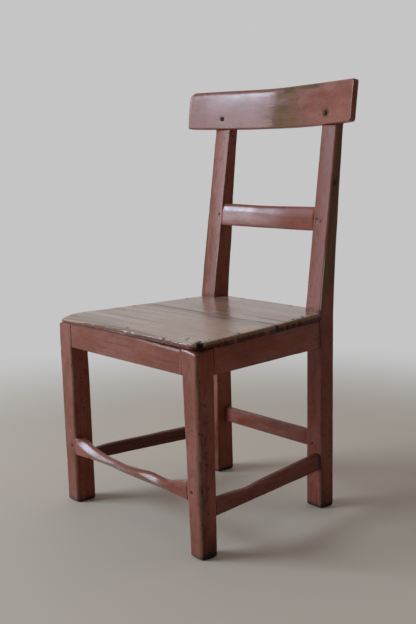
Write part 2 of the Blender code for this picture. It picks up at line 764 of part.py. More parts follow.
def make_crest_rail(posts):
    at_post = bow(CREST_MIDDLE_OF_POST, CREST_BOW_RADIUS)
    bottom = Vector((0, -CREST_PROUD - at_post, 0))
    on_posts = raked(post_front(CREST_BOTTOM), CREST_BOTTOM) @ Matrix.Translation(bottom)
    half = CREST_LENGTH / 2
    across = (0, evenly(-half, half, CREST_SPANS))

    def bowed(point):
        x, y, z = point
        return Vector((x, y + bow(x, CREST_BOW_RADIUS), z))

    def arched(point):
        x, y, z = bowed(point)
        rise = CREST_ARCH * (1 - (x / half) ** 2)
        return Vector((x, y, z + rise * z / CREST_HEIGHT))

    crest = plank(
        "crest_rail",
        (-half, 0, 0),
        (half, CREST_THICKNESS, CREST_HEIGHT),
        cuts=across,
        shape=arched,
        matrix=on_posts,
    )
    soften_all(crest, CREST_ROUND, segments=3)
    notch = plank(
        "crest_rail_notch",
        (-half, -CREST_THICKNESS - CUT_MARGIN, -CLEARANCE),
        (half, CREST_THICKNESS + CLEARANCE, CREST_HEIGHT + CUT_MARGIN),
        cuts=across,
        shape=bowed,
        matrix=on_posts,
        helper=True,
    )
    head, shank = CREST_NAIL_HEAD / 2, CREST_NAIL_SHANK / 2
    length = CREST_THICKNESS + CREST_NAIL_IN_POST
    nail_mesh = turned("crest_nail", nail_outline(head, CREST_NAIL_HEAD_HEIGHT, shank, length))
    for side, post in posts.items():
        boolean(post, notch, "DIFFERENCE")
        x = side * (POST_INNER + CREST_NAIL_INSET)
        turn = Matrix.Rotation(atan(-x / sqrt(CREST_BOW_RADIUS**2 - x**2)), 4, "Z")
        on_face = Matrix.Translation((x, bow(x, CREST_BOW_RADIUS), CREST_NAIL_RISE)) @ turn
        matrix = on_posts @ on_face @ nails_in_front()
        lifted = matrix @ Matrix.Translation((0, 0, CLEARANCE))
        name = f"crest_nail_{SIDE_NAMES[side]}"
        finish(add_object(name, nail_mesh.copy(), lifted), DARK_IRON, IRON_ROUGHNESS, IRON_METALLIC)
        hole = round_bar(name + "_hole", shank + CLEARANCE, CUT_MARGIN, -length, matrix, helper=True)
        for piece in (crest, post):
            boolean(piece, hole, "DIFFERENCE")
    return paint(crest)


def seat_outline():
    """Half the seat's outline before it is notched, at +X, from the front to the back."""
    front = -SEAT_OVERHANG_FRONT
    back = POST_FRONT_AT_SEAT + SEAT_BACK_REACH
    side_front = Vector((frame_half_width(front) + SEAT_OVERHANG_SIDE, front))
    side_rear = Vector((frame_half_width(back) + SEAT_OVERHANG_SIDE, back))
    up_side = (side_rear - side_front).normalized()
    lean = atan(-up_side.x / up_side.y)
    reach = SEAT_CORNER_RADIUS * tan((pi / 2 + lean) / 2)
    centre = Vector((side_front.x - reach, front + SEAT_CORNER_RADIUS))
    corner = []
    for step in range(SEAT_CORNER_SPANS + 1):
        angle = -pi / 2 + (pi / 2 + lean) * step / SEAT_CORNER_SPANS
        corner.append(centre + SEAT_CORNER_RADIUS * Vector((cos(angle), sin(angle))))
    return [*corner, side_rear]


def make_seat_slab():
    """The whole seat as one slab, sloped and with rounded edges."""
    half = seat_outline()
    points = half + [Vector((-p.x, p.y)) for p in reversed(half)]
    curve = bpy.data.curves.new("seat_outline", "CURVE")
    curve.dimensions = "2D"
    curve.fill_mode = "BOTH"
    curve.extrude = SEAT_THICKNESS / 2
    spline = curve.splines.new("POLY")
    spline.points.add(len(points) - 1)
    spline.use_cyclic_u = True
    for spot, point in zip(spline.points, points):
        spot.co = (point.x, point.y, 0, 1)
    drawn = bpy.data.objects.new("seat_outline", curve)
    CUTTERS.objects.link(drawn)
    mesh = bpy.data.meshes.new_from_object(drawn.evaluated_get(bpy.context.evaluated_depsgraph_get()))
    bpy.data.objects.remove(drawn)
    bm = bmesh.new()
    bm.from_mesh(mesh)
    bmesh.ops.remove_doubles(bm, verts=bm.verts, dist=0.00001)
    bmesh.ops.dissolve_limit(bm, angle_limit=radians(1), verts=bm.verts, edges=bm.edges)
    bmesh.ops.recalc_face_normals(bm, faces=bm.faces)
    for vert in bm.verts:
        vert.co.z += seat_top(vert.co.y) - SEAT_THICKNESS / 2
    return mesh_from("seat_slab", bm)


def make_seat_boards():
    """The slab, parted along the open joint into a front and a rear board."""
    boards = []
    slab = make_seat_slab()
    beyond = FRONT_WIDTH
    for name, low_y, high_y in (
        ("seat_board_front", SEAT_JOINT - CLEARANCE / 2, SEAT_JOINT + beyond),
        ("seat_board_rear", SEAT_JOINT - beyond, SEAT_JOINT + CLEARANCE / 2),
    ):
        board = add_object(name, slab.copy())
        soften_all(board, SEAT_EDGE_ROUND)
        rest = plank(name + "_rest", (-beyond, low_y, 0), (beyond, high_y, 2 * SEAT_HEIGHT), helper=True)
        boolean(board, rest, "DIFFERENCE")
        boards.append(finish(board, BARE_SEAT, SEAT_ROUGHNESS))
    for side in (LEFT, RIGHT):
        x_low, x_high = sorted((side * (POST_INNER - CLEARANCE), side * beyond))
        notch = plank(
            f"seat_notch_{SIDE_NAMES[side]}",
            (x_low, POST_FRONT_AT_SEAT - CLEARANCE, 0),
            (x_high, POST_FRONT_AT_SEAT + beyond, 2 * SEAT_HEIGHT),
            helper=True,
        )
        boolean(boards[1], notch, "DIFFERENCE")
    return boards


def seat_nail_places(rails, legs):
    """The name, the piece below and the place in plan of each nail in the seat."""
    front_middle = RAIL_THICKNESS / 2
    rear_middle = FRAME_DEPTH + REAR_RAIL_SETBACK + RAIL_THICKNESS / 2
    yield "seat_nail_front_1", rails["front"], (FRONT_NAIL_1, front_middle)
    for number, x in enumerate((REAR_NAIL_1, REAR_NAIL_2), 1):
        yield f"seat_nail_rear_{number}", rails["rear"], (x, rear_middle)
    for side, inset, places in (
        (LEFT, LEFT_NAIL_INSET, (LEFT_NAIL_1, LEFT_NAIL_2)),
        (RIGHT, RIGHT_NAIL_INSET, (RIGHT_NAIL_1, RIGHT_NAIL_2, RIGHT_NAIL_3)),
    ):
        for number, y in enumerate(places, 1):
            x = side * (frame_half_width(y) - RAIL_INSET - inset)
            yield f"seat_nail_{SIDE_NAMES[side]}_{number}", rails[side], (x, y)
    for side, inset, back in (
        (LEFT, LEFT_LEG_NAIL_INSET, LEFT_LEG_NAIL_BACK),
        (RIGHT, RIGHT_LEG_NAIL_INSET, RIGHT_LEG_NAIL_BACK),
    ):
        yield f"seat_nail_leg_{SIDE_NAMES[side]}", legs[side], (side * (FRONT_WIDTH / 2 - inset), back)


def drive_seat_nails(boards, rails, legs):
    head, shank = SEAT_NAIL_HEAD / 2, SEAT_NAIL_SHANK / 2
    outline = nail_outline(head, SEAT_NAIL_HEAD_HEIGHT, shank, SEAT_NAIL_LENGTH)
    nail_mesh = turned("seat_nail", outline)
    for name, below, (x, y) in seat_nail_places(rails, legs):
        board = boards[0] if y < SEAT_JOINT else boards[1]
        crown = seat_top(y) - SEAT_NAIL_SUNK
        matrix = Matrix.Translation((x, y, crown - SEAT_NAIL_HEAD_HEIGHT))
        finish(add_object(name, nail_mesh.copy(), matrix), DARK_IRON, IRON_ROUGHNESS, IRON_METALLIC)
        recess = round_bar(name + "_recess", head + CLEARANCE, CUT_MARGIN, -CLEARANCE, matrix, helper=True)
        hole = round_bar(
            name + "_hole", shank + CLEARANCE, CUT_MARGIN, -SEAT_NAIL_LENGTH - CLEARANCE, matrix, helper=True
        )
        boolean(board, recess, "DIFFERENCE")
        boolean(board, hole, "DIFFERENCE")
        boolean(below, hole, "DIFFERENCE")


def centre_on_floor():
    """Moves the chair so that the origin lies under the middle of its box."""
    bpy.context.view_layer.update()
    graph = bpy.context.evaluated_depsgraph_get()
    depths = []
    for obj in CHAIR.objects:
        if obj.type == "MESH":
            evaluated = obj.evaluated_get(graph)
            depths += [(evaluated.matrix_world @ vert.co).y for vert in evaluated.data.vertices]
    ORIGIN.location.y = -(min(depths) + max(depths)) / 2


def main():
    legs = {side: make_front_leg(side) for side in (LEFT, RIGHT)}
    posts = {side: make_rear_post(side) for side in (LEFT, RIGHT)}
    rails = {"front": make_front_rail(legs), "rear": make_rear_rail(posts)}
    make_front_stretcher(legs)
    make_rear_stretcher(posts)
    for side in (LEFT, RIGHT):
        rails[side] = make_side_rail(side, legs[side], posts[side])
        make_side_stretcher(side, legs[side], posts[side])
    make_mid_rail(posts)
    make_crest_rail(posts)
    boards = make_seat_boards()
    drive_seat_nails(boards, rails, legs)
    centre_on_floor()


main()
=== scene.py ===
"""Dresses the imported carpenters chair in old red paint, bare wood and iron, and lights it on a plain stage.

Every timber is lofted again over its CAD node with worn arrises, dents and open joints. Sizes are in
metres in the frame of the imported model: +Z is up, the front faces -Y, and left is -X, as seen by
someone who faces the chair.
"""

import itertools
from math import ceil, cos, pi, radians, sin, tan

import bmesh
import bpy
import numpy as np
from bpy.props import FloatProperty, FloatVectorProperty, PointerProperty
from bpy.types import Operator, Panel, PropertyGroup
from mathutils import Matrix, Vector


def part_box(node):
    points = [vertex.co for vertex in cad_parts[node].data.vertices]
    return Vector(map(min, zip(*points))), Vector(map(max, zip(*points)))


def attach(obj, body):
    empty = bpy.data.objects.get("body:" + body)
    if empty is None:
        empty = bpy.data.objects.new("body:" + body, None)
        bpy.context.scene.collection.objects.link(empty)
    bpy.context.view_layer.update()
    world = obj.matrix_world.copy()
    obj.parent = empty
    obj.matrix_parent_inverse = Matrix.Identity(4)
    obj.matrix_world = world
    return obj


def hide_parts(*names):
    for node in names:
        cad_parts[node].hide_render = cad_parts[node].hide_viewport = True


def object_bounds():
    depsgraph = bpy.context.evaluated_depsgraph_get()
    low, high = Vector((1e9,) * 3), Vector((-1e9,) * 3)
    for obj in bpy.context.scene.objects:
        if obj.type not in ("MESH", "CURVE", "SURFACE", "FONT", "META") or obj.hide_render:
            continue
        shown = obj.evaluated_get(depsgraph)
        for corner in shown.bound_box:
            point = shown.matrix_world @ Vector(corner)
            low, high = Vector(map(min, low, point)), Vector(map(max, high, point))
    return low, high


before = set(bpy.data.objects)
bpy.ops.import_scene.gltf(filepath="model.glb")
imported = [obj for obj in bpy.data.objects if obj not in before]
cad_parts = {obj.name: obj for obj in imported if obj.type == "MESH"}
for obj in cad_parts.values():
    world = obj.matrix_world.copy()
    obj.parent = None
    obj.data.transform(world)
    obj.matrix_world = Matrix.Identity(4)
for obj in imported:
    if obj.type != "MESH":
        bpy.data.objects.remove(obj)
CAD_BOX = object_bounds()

bl_info = {
    "name": "Carpenters Chair",
    "version": (1, 0, 0),
    "blender": (4, 5, 0),
    "location": "3D View > Sidebar > Chair",
    "description": "Builds a worn, painted country chair over its packed CAD model, with a plain stage",
    "category": "Object",
}

LEFT, RIGHT = -1, 1
SIDE_NAMES = {LEFT: "left", RIGHT: "right"}
GAP = 0.0003  # between pieces that touch

# Where the CAD model keeps its main faces
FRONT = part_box("front_leg_left")[0].y
FRONT_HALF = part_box("front_leg_right")[1].x
LEG_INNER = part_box("front_leg_right")[0].x
REAR_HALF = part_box("rear_post_right")[1].x
POST_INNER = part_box("rear_post_right")[0].x
RAIL_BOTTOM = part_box("front_seat_rail")[0].z
CREST_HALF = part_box("crest_rail")[1].x

# Depths back from the front of the legs, as in the part's source
LEG_DEPTH = 0.0435
LEG_TAPER = 0.007
LEG_INNER_TAPER = 0.0065
LEG_BACK_LEAN = {LEFT: 0.011, RIGHT: 0.0015}
LEFT_LEG_SPREAD = 0.002  # the left leg stands this far out
FOOT_ROUNDING = 0.0045
FRAME_DEPTH = 0.3724
POST_FOOT_DEPTH = {LEFT: 0.048, RIGHT: 0.038}
POST_SEAT_DEPTH = {LEFT: 0.046, RIGHT: 0.0415}
POST_TOP_DEPTH = 0.023
POST_SHOULDER = 0.0046
POST_BACK_DRIFT = {LEFT: 0.0022, RIGHT: -0.0010}  # of the upper back faces, hand-made
POST_TAPER_POWER = 1.2
POST_RAKE = radians(7.2)
POST_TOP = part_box("rear_post_left")[1].z
SEAT_HEIGHT = 0.425
SEAT_FALL = 0.009
SEAT_OVERHANG = 0.001
SEAT_THICKNESS = 0.016
FRONT_THINNING = 0.0042
SEAT_FRONT = -0.006
SEAT_BACK = 0.4083
SEAT_CORNER = 0.024
SEAT_LEFT_CORNER = 0.038
SEAT_JOINT = 0.222
SEAT_CRACK = 0.258
NAIL_PIT = (0.0046, 0.0037, 0.0024)  # radius of the mouth, radius of the bottom and depth
RAIL_THICKNESS = 0.022
RAIL_INSET = 0.002
REAR_RAIL_SETBACK = 0.014
MID_RAIL_BOTTOM = 0.5925
MID_RAIL_HEIGHT = 0.0505
MID_RAIL_THICKNESS = 0.015
MID_RAIL_BOW = 2.6
CREST_BOTTOM = 0.810
CREST_HEIGHT = 0.084
CREST_ARCH = 0.004
CREST_THICKNESS = 0.017
CREST_BOW = 0.800
CREST_PROUD = 0.010
POST_FRONT_AT_SEAT = FRAME_DEPTH - POST_SHOULDER
LEFT_POST_SHIFT = 0.003  # the left post's inner face stands this far out at the seat
STRETCHER_BOTTOM = 0.111
STRETCHER_TOP = 0.148
STRETCHER_THICKNESS = 0.022
STRETCHER_TENON = 0.009
TENON_SHOULDER = 0.003
TENON_SLACK = 0.0006
SIDE_STRETCHER_INSET = 0.0015
SIDE_STRETCHER_THICKNESS = 0.020

# Worn tops: place along the piece and height of the crown there
WORN_STRETCHER = (
    (-0.198, 0.1480), (-0.174, 0.1445), (-0.139, 0.1350), (-0.085, 0.1275), (-0.028, 0.1245),
    (0.061, 0.1318), (0.100, 0.1291), (0.120, 0.1298), (0.177, 0.1440), (0.198, 0.1480),
)
# Where feet have slanted the front stretcher's upper front: place and height of the slant's lower edge
FOOT_SLANT_ANGLE = radians(35)
FOOT_SLANT = (
    (-0.192, 0.1400), (-0.165, 0.1262), (-0.130, 0.1205), (-0.060, 0.1128), (-0.020, 0.1165),
    (0.028, 0.1235), (0.100, 0.1168), (0.130, 0.1250), (0.160, 0.1480),
)
# Undersides of the side stretchers at the leg and at the post
SIDE_STRETCHER_BOTTOMS = {LEFT: (0.0845, 0.0905), RIGHT: (0.0795, 0.0870)}
SIDE_STRETCHER_TOPS = {
    LEFT: ((0.04, 0.1050), (0.07, 0.1078), (0.10, 0.1120), (0.16, 0.1140), (0.38, 0.1185)),
    RIGHT: (
        (0.040, 0.1130), (0.093, 0.1110), (0.147, 0.1072), (0.181, 0.1115), (0.332, 0.1200), (0.380, 0.1205),
    ),
}

# The stage: each light's place, width and height, and colour, and how the camera stands and turns
KEY_LIGHT = ((-2.31, -3.82, 1.44), (2.85, 1.8), (0.74, 0.87, 1.0))
UPPER_LIGHT = ((-2.79, -3.60, 2.97), (2.43, 1.2), (0.62, 0.80, 1.0))
LIGHT_AIM = Vector((0.0, 0.0, 0.45))
FILL_SIDE = Vector((-0.62, 0.49, 0.61))
FILL_COLOUR = (0.97, 0.98, 1.0)
CAMERA_PLACE = Vector((1.5689, -1.0857 + FRONT, 0.7443))
CAMERA_YAW = radians(50.13)
CAMERA_PITCH = radians(8.94)
CAMERA_ROLL = radians(-0.88)
FLOOR_REACH = 14.0


def smooth(t):
    """0 up to t = 0, 1 from t = 1, and a soft step between."""
    t = np.clip(t, 0.0, 1.0)
    return t * t * (3 - 2 * t)


def hump(value, centre, width):
    """1 at the centre, falling away over this width on either side."""
    return np.exp(-(((value - centre) / width) ** 2))


def rounded(distance, radius):
    """How far a rounded corner of this radius draws in, at this distance from the end."""
    within = np.clip(radius - distance, 0, radius)
    return radius - np.sqrt(np.maximum(radius**2 - within**2, 0))


def worn_line(places, table, window):
    """Height along a worn edge: the table's line, softened over this window."""
    known, heights = zip(*table)
    shifts = np.linspace(-window / 2, window / 2, 9)
    return np.mean([np.interp(places + shift, known, heights) for shift in shifts], axis=0)


def leg_front(z):
    return LEG_TAPER * np.maximum(0.0, 1 - z / RAIL_BOTTOM)


def leg_back(side, z):
    return LEG_DEPTH + LEG_BACK_LEAN[side] * np.maximum(0.0, 1 - z / RAIL_BOTTOM)


def leg_inner(z):
    return LEG_INNER + LEG_INNER_TAPER * np.maximum(0.0, 1 - z / RAIL_BOTTOM)


def post_front(z):
    up_shoulder = np.clip((z - RAIL_BOTTOM) / (SEAT_HEIGHT - RAIL_BOTTOM), 0.0, 1.0)
    raked = np.maximum(0.0, z - SEAT_HEIGHT) * tan(POST_RAKE)
    return FRAME_DEPTH - POST_SHOULDER * up_shoulder + raked


def post_back(side, z):
    foot = FRAME_DEPTH + POST_FOOT_DEPTH[side]
    at_seat = POST_FRONT_AT_SEAT + POST_SEAT_DEPTH[side]
    below = foot + (at_seat - foot) * np.minimum(z, SEAT_HEIGHT) / SEAT_HEIGHT
    left_to_go = np.clip((CREST_BOTTOM - z) / (CREST_BOTTOM - SEAT_HEIGHT), 0.0, 1.0)
    tapering = (POST_SEAT_DEPTH[side] - POST_TOP_DEPTH) * left_to_go**POST_TAPER_POWER
    above = post_front(z) + POST_TOP_DEPTH + tapering
    return np.where(z > SEAT_HEIGHT, above, below)


def bow(x, radius):
    """How far a rail bowed to this radius stands forward, away from its middle."""
    return np.sqrt(radius**2 - x**2) - radius


def crest_back(x, z):
    """How far back the rear face of the crest rail lies, at this x and height."""
    from_post = bow(x, CREST_BOW) - bow((POST_INNER + REAR_HALF) / 2, CREST_BOW)
    inwards = CREST_THICKNESS - CREST_PROUD + from_post
    return post_front(CREST_BOTTOM) + inwards / cos(POST_RAKE) + (z - CREST_BOTTOM) * tan(POST_RAKE)


def stretcher_middle():
    """How far back the middle of the front stretcher lies."""
    return leg_front(STRETCHER_BOTTOM) + STRETCHER_THICKNESS / 2


def seat_top(y):
    return SEAT_HEIGHT - SEAT_FALL * (1 - y / POST_FRONT_AT_SEAT)


def seat_underside(y):
    """The seat is worn thinner over the front legs and the front rail."""
    return seat_top(y) - SEAT_THICKNESS + FRONT_THINNING * smooth((0.058 - y) / 0.014)


def frame_half_width(y):
    """Half the width over the legs and posts, narrowing to the back."""
    along = (y - LEG_DEPTH) / (FRAME_DEPTH - LEG_DEPTH)
    return FRONT_HALF + (REAR_HALF - FRONT_HALF) * along


class ChairWear(PropertyGroup):
    """How hard the chair has been used."""

    arris: FloatProperty(
        name="Arris rounding",
        description="Usual rounding of a long edge",
        default=0.0030,
        unit="LENGTH",
    )
    chips: FloatProperty(
        name="Chips",
        description="Deepest extra rounding where an edge is chipped",
        default=0.0030,
        unit="LENGTH",
    )
    unevenness: FloatProperty(
        name="Unevenness",
        description="How far hand-planed faces wander",
        default=0.00035,
        unit="LENGTH",
    )
    open_joint: FloatProperty(
        name="Open joint",
        description="Gap at the rail that has drawn away from its post",
        default=0.0012,
        unit="LENGTH",
    )
    seat_joint: FloatProperty(
        name="Seat joint",
        description="Half the gap between the seat boards",
        default=0.0008,
        unit="LENGTH",
    )


class ChairPaint(PropertyGroup):
    """The old red paint on the frame."""

    red: FloatVectorProperty(
        name="Red",
        description="Paint where it is sound",
        default=(0.225, 0.050, 0.024),
        subtype="COLOR",
    )
    faded: FloatVectorProperty(
        name="Faded red",
        description="Paint that is rubbed and faded",
        default=(0.298, 0.094, 0.064),
        subtype="COLOR",
    )
    dark: FloatVectorProperty(
        name="Dark red",
        description="Paint in the streaks and hollows",
        default=(0.080, 0.022, 0.013),
        subtype="COLOR",
    )
    tan: FloatVectorProperty(
        name="Bare tan",
        description="Wood where the paint is rubbed off",
        default=(0.222, 0.112, 0.058),
        subtype="COLOR",
    )
    olive: FloatVectorProperty(
        name="Bare olive",
        description="Old, dirty bare wood",
        default=(0.128, 0.066, 0.036),
        subtype="COLOR",
    )
    raw: FloatVectorProperty(
        name="Raw wood",
        description="Fresh wood in the newest chips",
        default=(0.480, 0.350, 0.225),
        subtype="COLOR",
    )
    # Grime is also the colour of painted shade: the side stretchers under the seat, the seat's chip and
    # broken corner, and the pegs in their holes are darkened with it.
    grime_and_shade: FloatVectorProperty(
        name="Grime",
        description="Dirt in corners, on feet and in chips",
        default=(0.020, 0.015, 0.013),
        subtype="COLOR",
    )
    roughness: FloatProperty(
        name="Roughness",
        description="Roughness of sound paint",
        default=0.33,
        min=0.0,
        max=1.0,
        subtype="FACTOR",
    )


class ChairSeat(PropertyGroup):
    """The bare seat boards."""

    pale: FloatVectorProperty(
        name="Pale wood",
        description="Lighter bands of the grain",
        default=(0.700, 0.497, 0.348),
        subtype="COLOR",
    )
    deep: FloatVectorProperty(
        name="Deep wood",
        description="Darker bands of the grain",
        default=(0.265, 0.150, 0.096),
        subtype="COLOR",
    )
    # Also reddens the whole rear board, where it stands partly for a painted reflection of the red left post.
    red_stain_and_reflection: FloatVectorProperty(
        name="Stain",
        description="Red paint rubbed into the grain",
        default=(0.300, 0.115, 0.070),
        subtype="COLOR",
    )
    edge: FloatVectorProperty(
        name="Worn edge",
        description="Tan wood along the rounded edges",
        default=(0.285, 0.148, 0.076),
        subtype="COLOR",
    )
    roughness: FloatProperty(
        name="Roughness",
        description="Roughness of the polished top",
        default=0.18,
        min=0.0,
        max=1.0,
        subtype="FACTOR",
    )


class ChairStage(PropertyGroup):
    """The floor, the light and the camera."""

    floor: FloatVectorProperty(
        name="Floor",
        description="Colour of the plain floor",
        default=(0.605, 0.495, 0.390),
        subtype="COLOR",
    )
    backdrop: FloatVectorProperty(
        name="Backdrop",
        description="Colour behind the chair",
        default=(0.560, 0.560, 0.565),
        subtype="COLOR",
    )
    key: FloatProperty(
        name="Key light",
        description="Power of the large soft light",
        default=74.0,
        min=0.0,
        unit="POWER",
    )
    upper: FloatProperty(
        name="Upper light",
        description="Power of the brighter light above it",
        default=170.0,
        min=0.0,
        unit="POWER",
    )
    fill: FloatProperty(
        name="Fill",
        description="Strength of the light from above and behind",
        default=0.46,
        min=0.0,
    )
    lens: FloatProperty(
        name="Lens",
        description="Focal length of the camera",
        default=56.195,
        min=1.0,
        unit="CAMERA",
    )


def settings():
    """The scene, which holds the groups of settings."""
    return bpy.context.scene


HASH_PRIMES = (73856093, 19349663, 83492791)


def lattice_noise(points, size, seed):
    """Smooth noise from -1 to 1, with lumps of about this size."""
    scaled = np.asarray(points, float) / size + 31.7 * seed
    cell = np.floor(scaled).astype(np.int64)
    part = scaled - cell
    part = part * part * (3 - 2 * part)
    total = 0.0
    for corner in itertools.product((0, 1), repeat=3):
        key = ((cell + corner) * HASH_PRIMES).sum(-1) + seed * 974634777
        key = (key ^ (key >> 15)) & 0xFFFFFFFF
        key = (key * 2246822519) & 0xFFFFFFFF
        key = key ^ (key >> 13)
        value = (key & 0xFFFF) / 32767.5 - 1
        weight = np.where(corner, part, 1 - part).prod(-1)
        total = total + weight * value
    return total


def fractal(points, size, seed, octaves=3):
    """Noise with finer noise on it."""
    return sum(lattice_noise(points, size / 2**i, seed + i) / 2**i for i in range(octaves)) / 1.75


def along_line(places, across=0.0):
    """Points for noise that runs along these places, at this place across them."""
    return np.stack(np.broadcast_arrays(places, across, 0.0), -1)


def unit(vectors):
    return vectors / np.maximum(np.linalg.norm(vectors, axis=-1, keepdims=True), 1e-12)


def stations(low, high, step, round_low=0.0008, round_high=0.0008, extra=()):
    """Places along a length, close together at rounded ends, and how far each ring is drawn in."""
    fan = 1 - np.cos(np.linspace(0, pi / 2, 5))
    head, tail = low + round_low * fan, high - round_high * fan[::-1]
    count = max(2, ceil((tail[0] - head[-1]) / step))
    middle = np.linspace(head[-1], tail[0], count + 1)[1:-1]
    places = np.unique(np.concatenate([head, middle, np.asarray(extra, float), tail]))
    inset = np.zeros(len(places))
    for distance, radius in ((places - low, round_low), (high - places, round_high)):
        inset = np.maximum(inset, rounded(distance, radius))
    return places, inset


def link(name, data):
    """A new object for this data, in the scene."""
    obj = bpy.data.objects.new(name, data)
    bpy.context.scene.collection.objects.link(obj)
    return obj


class Timber:
    """A four-sided worn timber, as rings of points along its length.

    corners is (rings, 4, 3), in the part's source frame, and radii is (rings, 4). wear, the darkening and
    bare tell the finish, point by point, how far the piece is chipped, darkened by dirt and in places by
    painted shade, and rubbed bare. Painted timber with bare below 0 was left dull, and on the seat bare tells
    where red paint is left.
    """

    def __init__(self, corners, radii, inset, sides, arc=4, seed=1):
        corners = np.array(corners, float)
        to_last = unit(np.roll(corners, 1, axis=1) - corners)
        to_next = unit(np.roll(corners, -1, axis=1) - corners)
        corners = corners + (to_last + to_next) * np.asarray(inset)[:, None, None]
        lengths = np.linalg.norm(np.roll(corners, -1, axis=1) - corners, axis=-1)
        most = 0.49 * np.minimum(lengths, np.roll(lengths, 1, axis=1))
        radii = np.minimum(radii, most)[:, :, None, None]
        angle = np.linspace(0, pi / 2, arc + 1)[:, None]
        arcs = corners[:, :, None] + radii * (
            to_last[:, :, None] * (1 - np.sin(angle)) + to_next[:, :, None] * (1 - np.cos(angle))
        )
        rings, arris = [], []
        for k, count in enumerate(sides):
            part = np.linspace(0, 1, count + 1)[1:-1, None]
            if count > 3:
                part = 0.03 + 0.94 * (part - part[0]) / (part[-1] - part[0])
            start, end = arcs[:, k, -1], arcs[:, (k + 1) % 4, 0]
            rings += [arcs[:, k], start[:, None] * (1 - part) + end[:, None] * part]
            arris += [np.sin(2 * angle[:, 0]), np.zeros(count - 1)]
        self.points = np.concatenate(rings, axis=1)
        self.wear = np.tile(np.concatenate(arris), (len(corners), 1))
        eased = smooth((radii[:, :, 0, 0] - 0.0008) / 0.0015)
        self.wear *= np.repeat(eased, [arc + count for count in sides], axis=1)
        centres = corners.mean(axis=1)
        steps = np.linalg.norm(np.diff(centres, axis=0), axis=1)
        along = np.concatenate([[0], np.cumsum(steps)])
        across = self.points - centres[:, None]
        axis = int(np.argmax(np.ptp(centres, axis=0)))
        first, second = [k for k in range(3) if k != axis]
        self.grain = np.stack(
            [
                np.broadcast_to(along[:, None], across.shape[:2]) + 0.77 * seed,
                across[..., first] + 0.31 * seed,
                across[..., second] - 0.53 * seed,
            ],
            axis=-1,
        )
        self.grime_and_shade = np.zeros(self.wear.shape)
        self.bare = np.zeros(self.wear.shape)
        self.seed = seed

    def normals(self):
        ahead = np.gradient(self.points, axis=0)
        around = np.roll(self.points, -1, axis=1) - np.roll(self.points, 1, axis=1)
        normal = unit(np.cross(around, ahead))
        outwards = self.points - self.points.mean(axis=1, keepdims=True)
        if np.sum(normal * outwards) < 0:
            normal = -normal
        return normal

    def near_front(self, front, depth):
        """1 on a front face that lies here, falling to 0 over this depth behind it."""
        return smooth(1 - (self.points[..., 1] - front) / depth)

    def outer_face(self, side, half):
        """1 on the face that looks outwards on this side of the chair."""
        return smooth((side * self.points[..., 0] - half + 0.004) / 0.003)

    def soil_and_shade(self, amount):
        """Darkens up to this amount: dirt, and painted shade where a piece asks for it."""
        self.grime_and_shade = np.maximum(self.grime_and_shade, amount)

    def roughen(self, amount):
        """Lets the faces wander, as a hand plane leaves them."""
        wander = fractal(self.points, 0.06, self.seed)
        self.points = self.points + self.normals() * (amount * (wander - 0.6))[..., None]
        return self

    def dent(self, place, radius, depth, grime_and_shade=0.8):
        """Presses a round dent in at this place."""
        away = np.linalg.norm(self.points - np.asarray(place), axis=-1)
        press = np.exp(-((away / radius) ** 2))
        self.points = self.points - self.normals() * (depth * press)[..., None]
        self.soil_and_shade(grime_and_shade * press)

    def object(self, name):
        """The mesh object, closed at both ends."""
        rings, count = self.points.shape[:2]
        points = [self.points.reshape(-1, 3)]
        use = [np.stack([self.wear, self.grime_and_shade, self.bare], -1).reshape(-1, 3)]
        grain = [self.grain.reshape(-1, 3)]
        quads = []
        index = np.arange(rings * count).reshape(rings, count)
        a, b = index[:-1], index[1:]
        quads += np.stack([a, np.roll(a, -1, 1), np.roll(b, -1, 1), b], -1).reshape(-1, 4).tolist()
        total = rings * count
        for end in (0, rings - 1):
            ring, last = self.points[end], index[end]
            centre = ring.mean(axis=0)
            for share in (0.72, 0.42, 0.14):
                points.append(centre + (ring - centre) * share)
                use.append(use[0].reshape(rings, count, 3)[end] * (0.4, 1, 1))
                middle = self.grain[end].mean(axis=0)
                grain.append(middle + (self.grain[end] - middle) * share)
                inner = total + np.arange(count)
                total += count
                face = np.stack([last, np.roll(last, -1), np.roll(inner, -1), inner], -1)
                quads += (face[:, ::-1] if end == 0 else face).tolist()
                last = inner
            quads.append(last[::-1].tolist() if end == 0 else last.tolist())
        placed = np.clip(np.concatenate(points) + (0, FRONT, 0), *CAD_BOX)
        mesh = bpy.data.meshes.new(name)
        mesh.from_pydata(placed.tolist(), [], quads)
        for label, values in (("grain", np.concatenate(grain)), ("use", np.concatenate(use))):
            layer = mesh.attributes.new(label, "FLOAT_VECTOR", "POINT")
            layer.data.foreach_set("vector", np.ascontiguousarray(values, np.float32).ravel())
        turn_outwards(mesh)
        mesh.shade_smooth()
        return link(name, mesh)


def swell_front(timber, front, depth):
    """Eases the front face back towards its sides, so that it swells a little in the middle."""
    x = timber.points[..., 0]
    middle = (x.max(axis=1) + x.min(axis=1))[:, None] / 2
    half = np.ptp(x, axis=1)[:, None] / 2
    in_front = timber.near_front(front, 0.008)
    timber.points[..., 1] += depth * ((x - middle) / np.maximum(half, 0.001)) ** 2 * in_front


def foot_dirt(timber, least, mottle):
    """Grime of a foot: black and mottled at the floor, thinning out above it."""
    z = timber.points[..., 2]
    at_floor = least + mottle * np.abs(fractal(timber.points, 0.02, 9))
    return at_floor * smooth(1 - z / 0.014) + 0.2 * smooth(1 - z / 0.09)


def turn_outwards(mesh):
    """Turns every face to look outwards."""
    bm = bmesh.new()
    bm.from_mesh(mesh)
    bmesh.ops.recalc_face_normals(bm, faces=bm.faces)
    bm.to_mesh(mesh)
    bm.free()


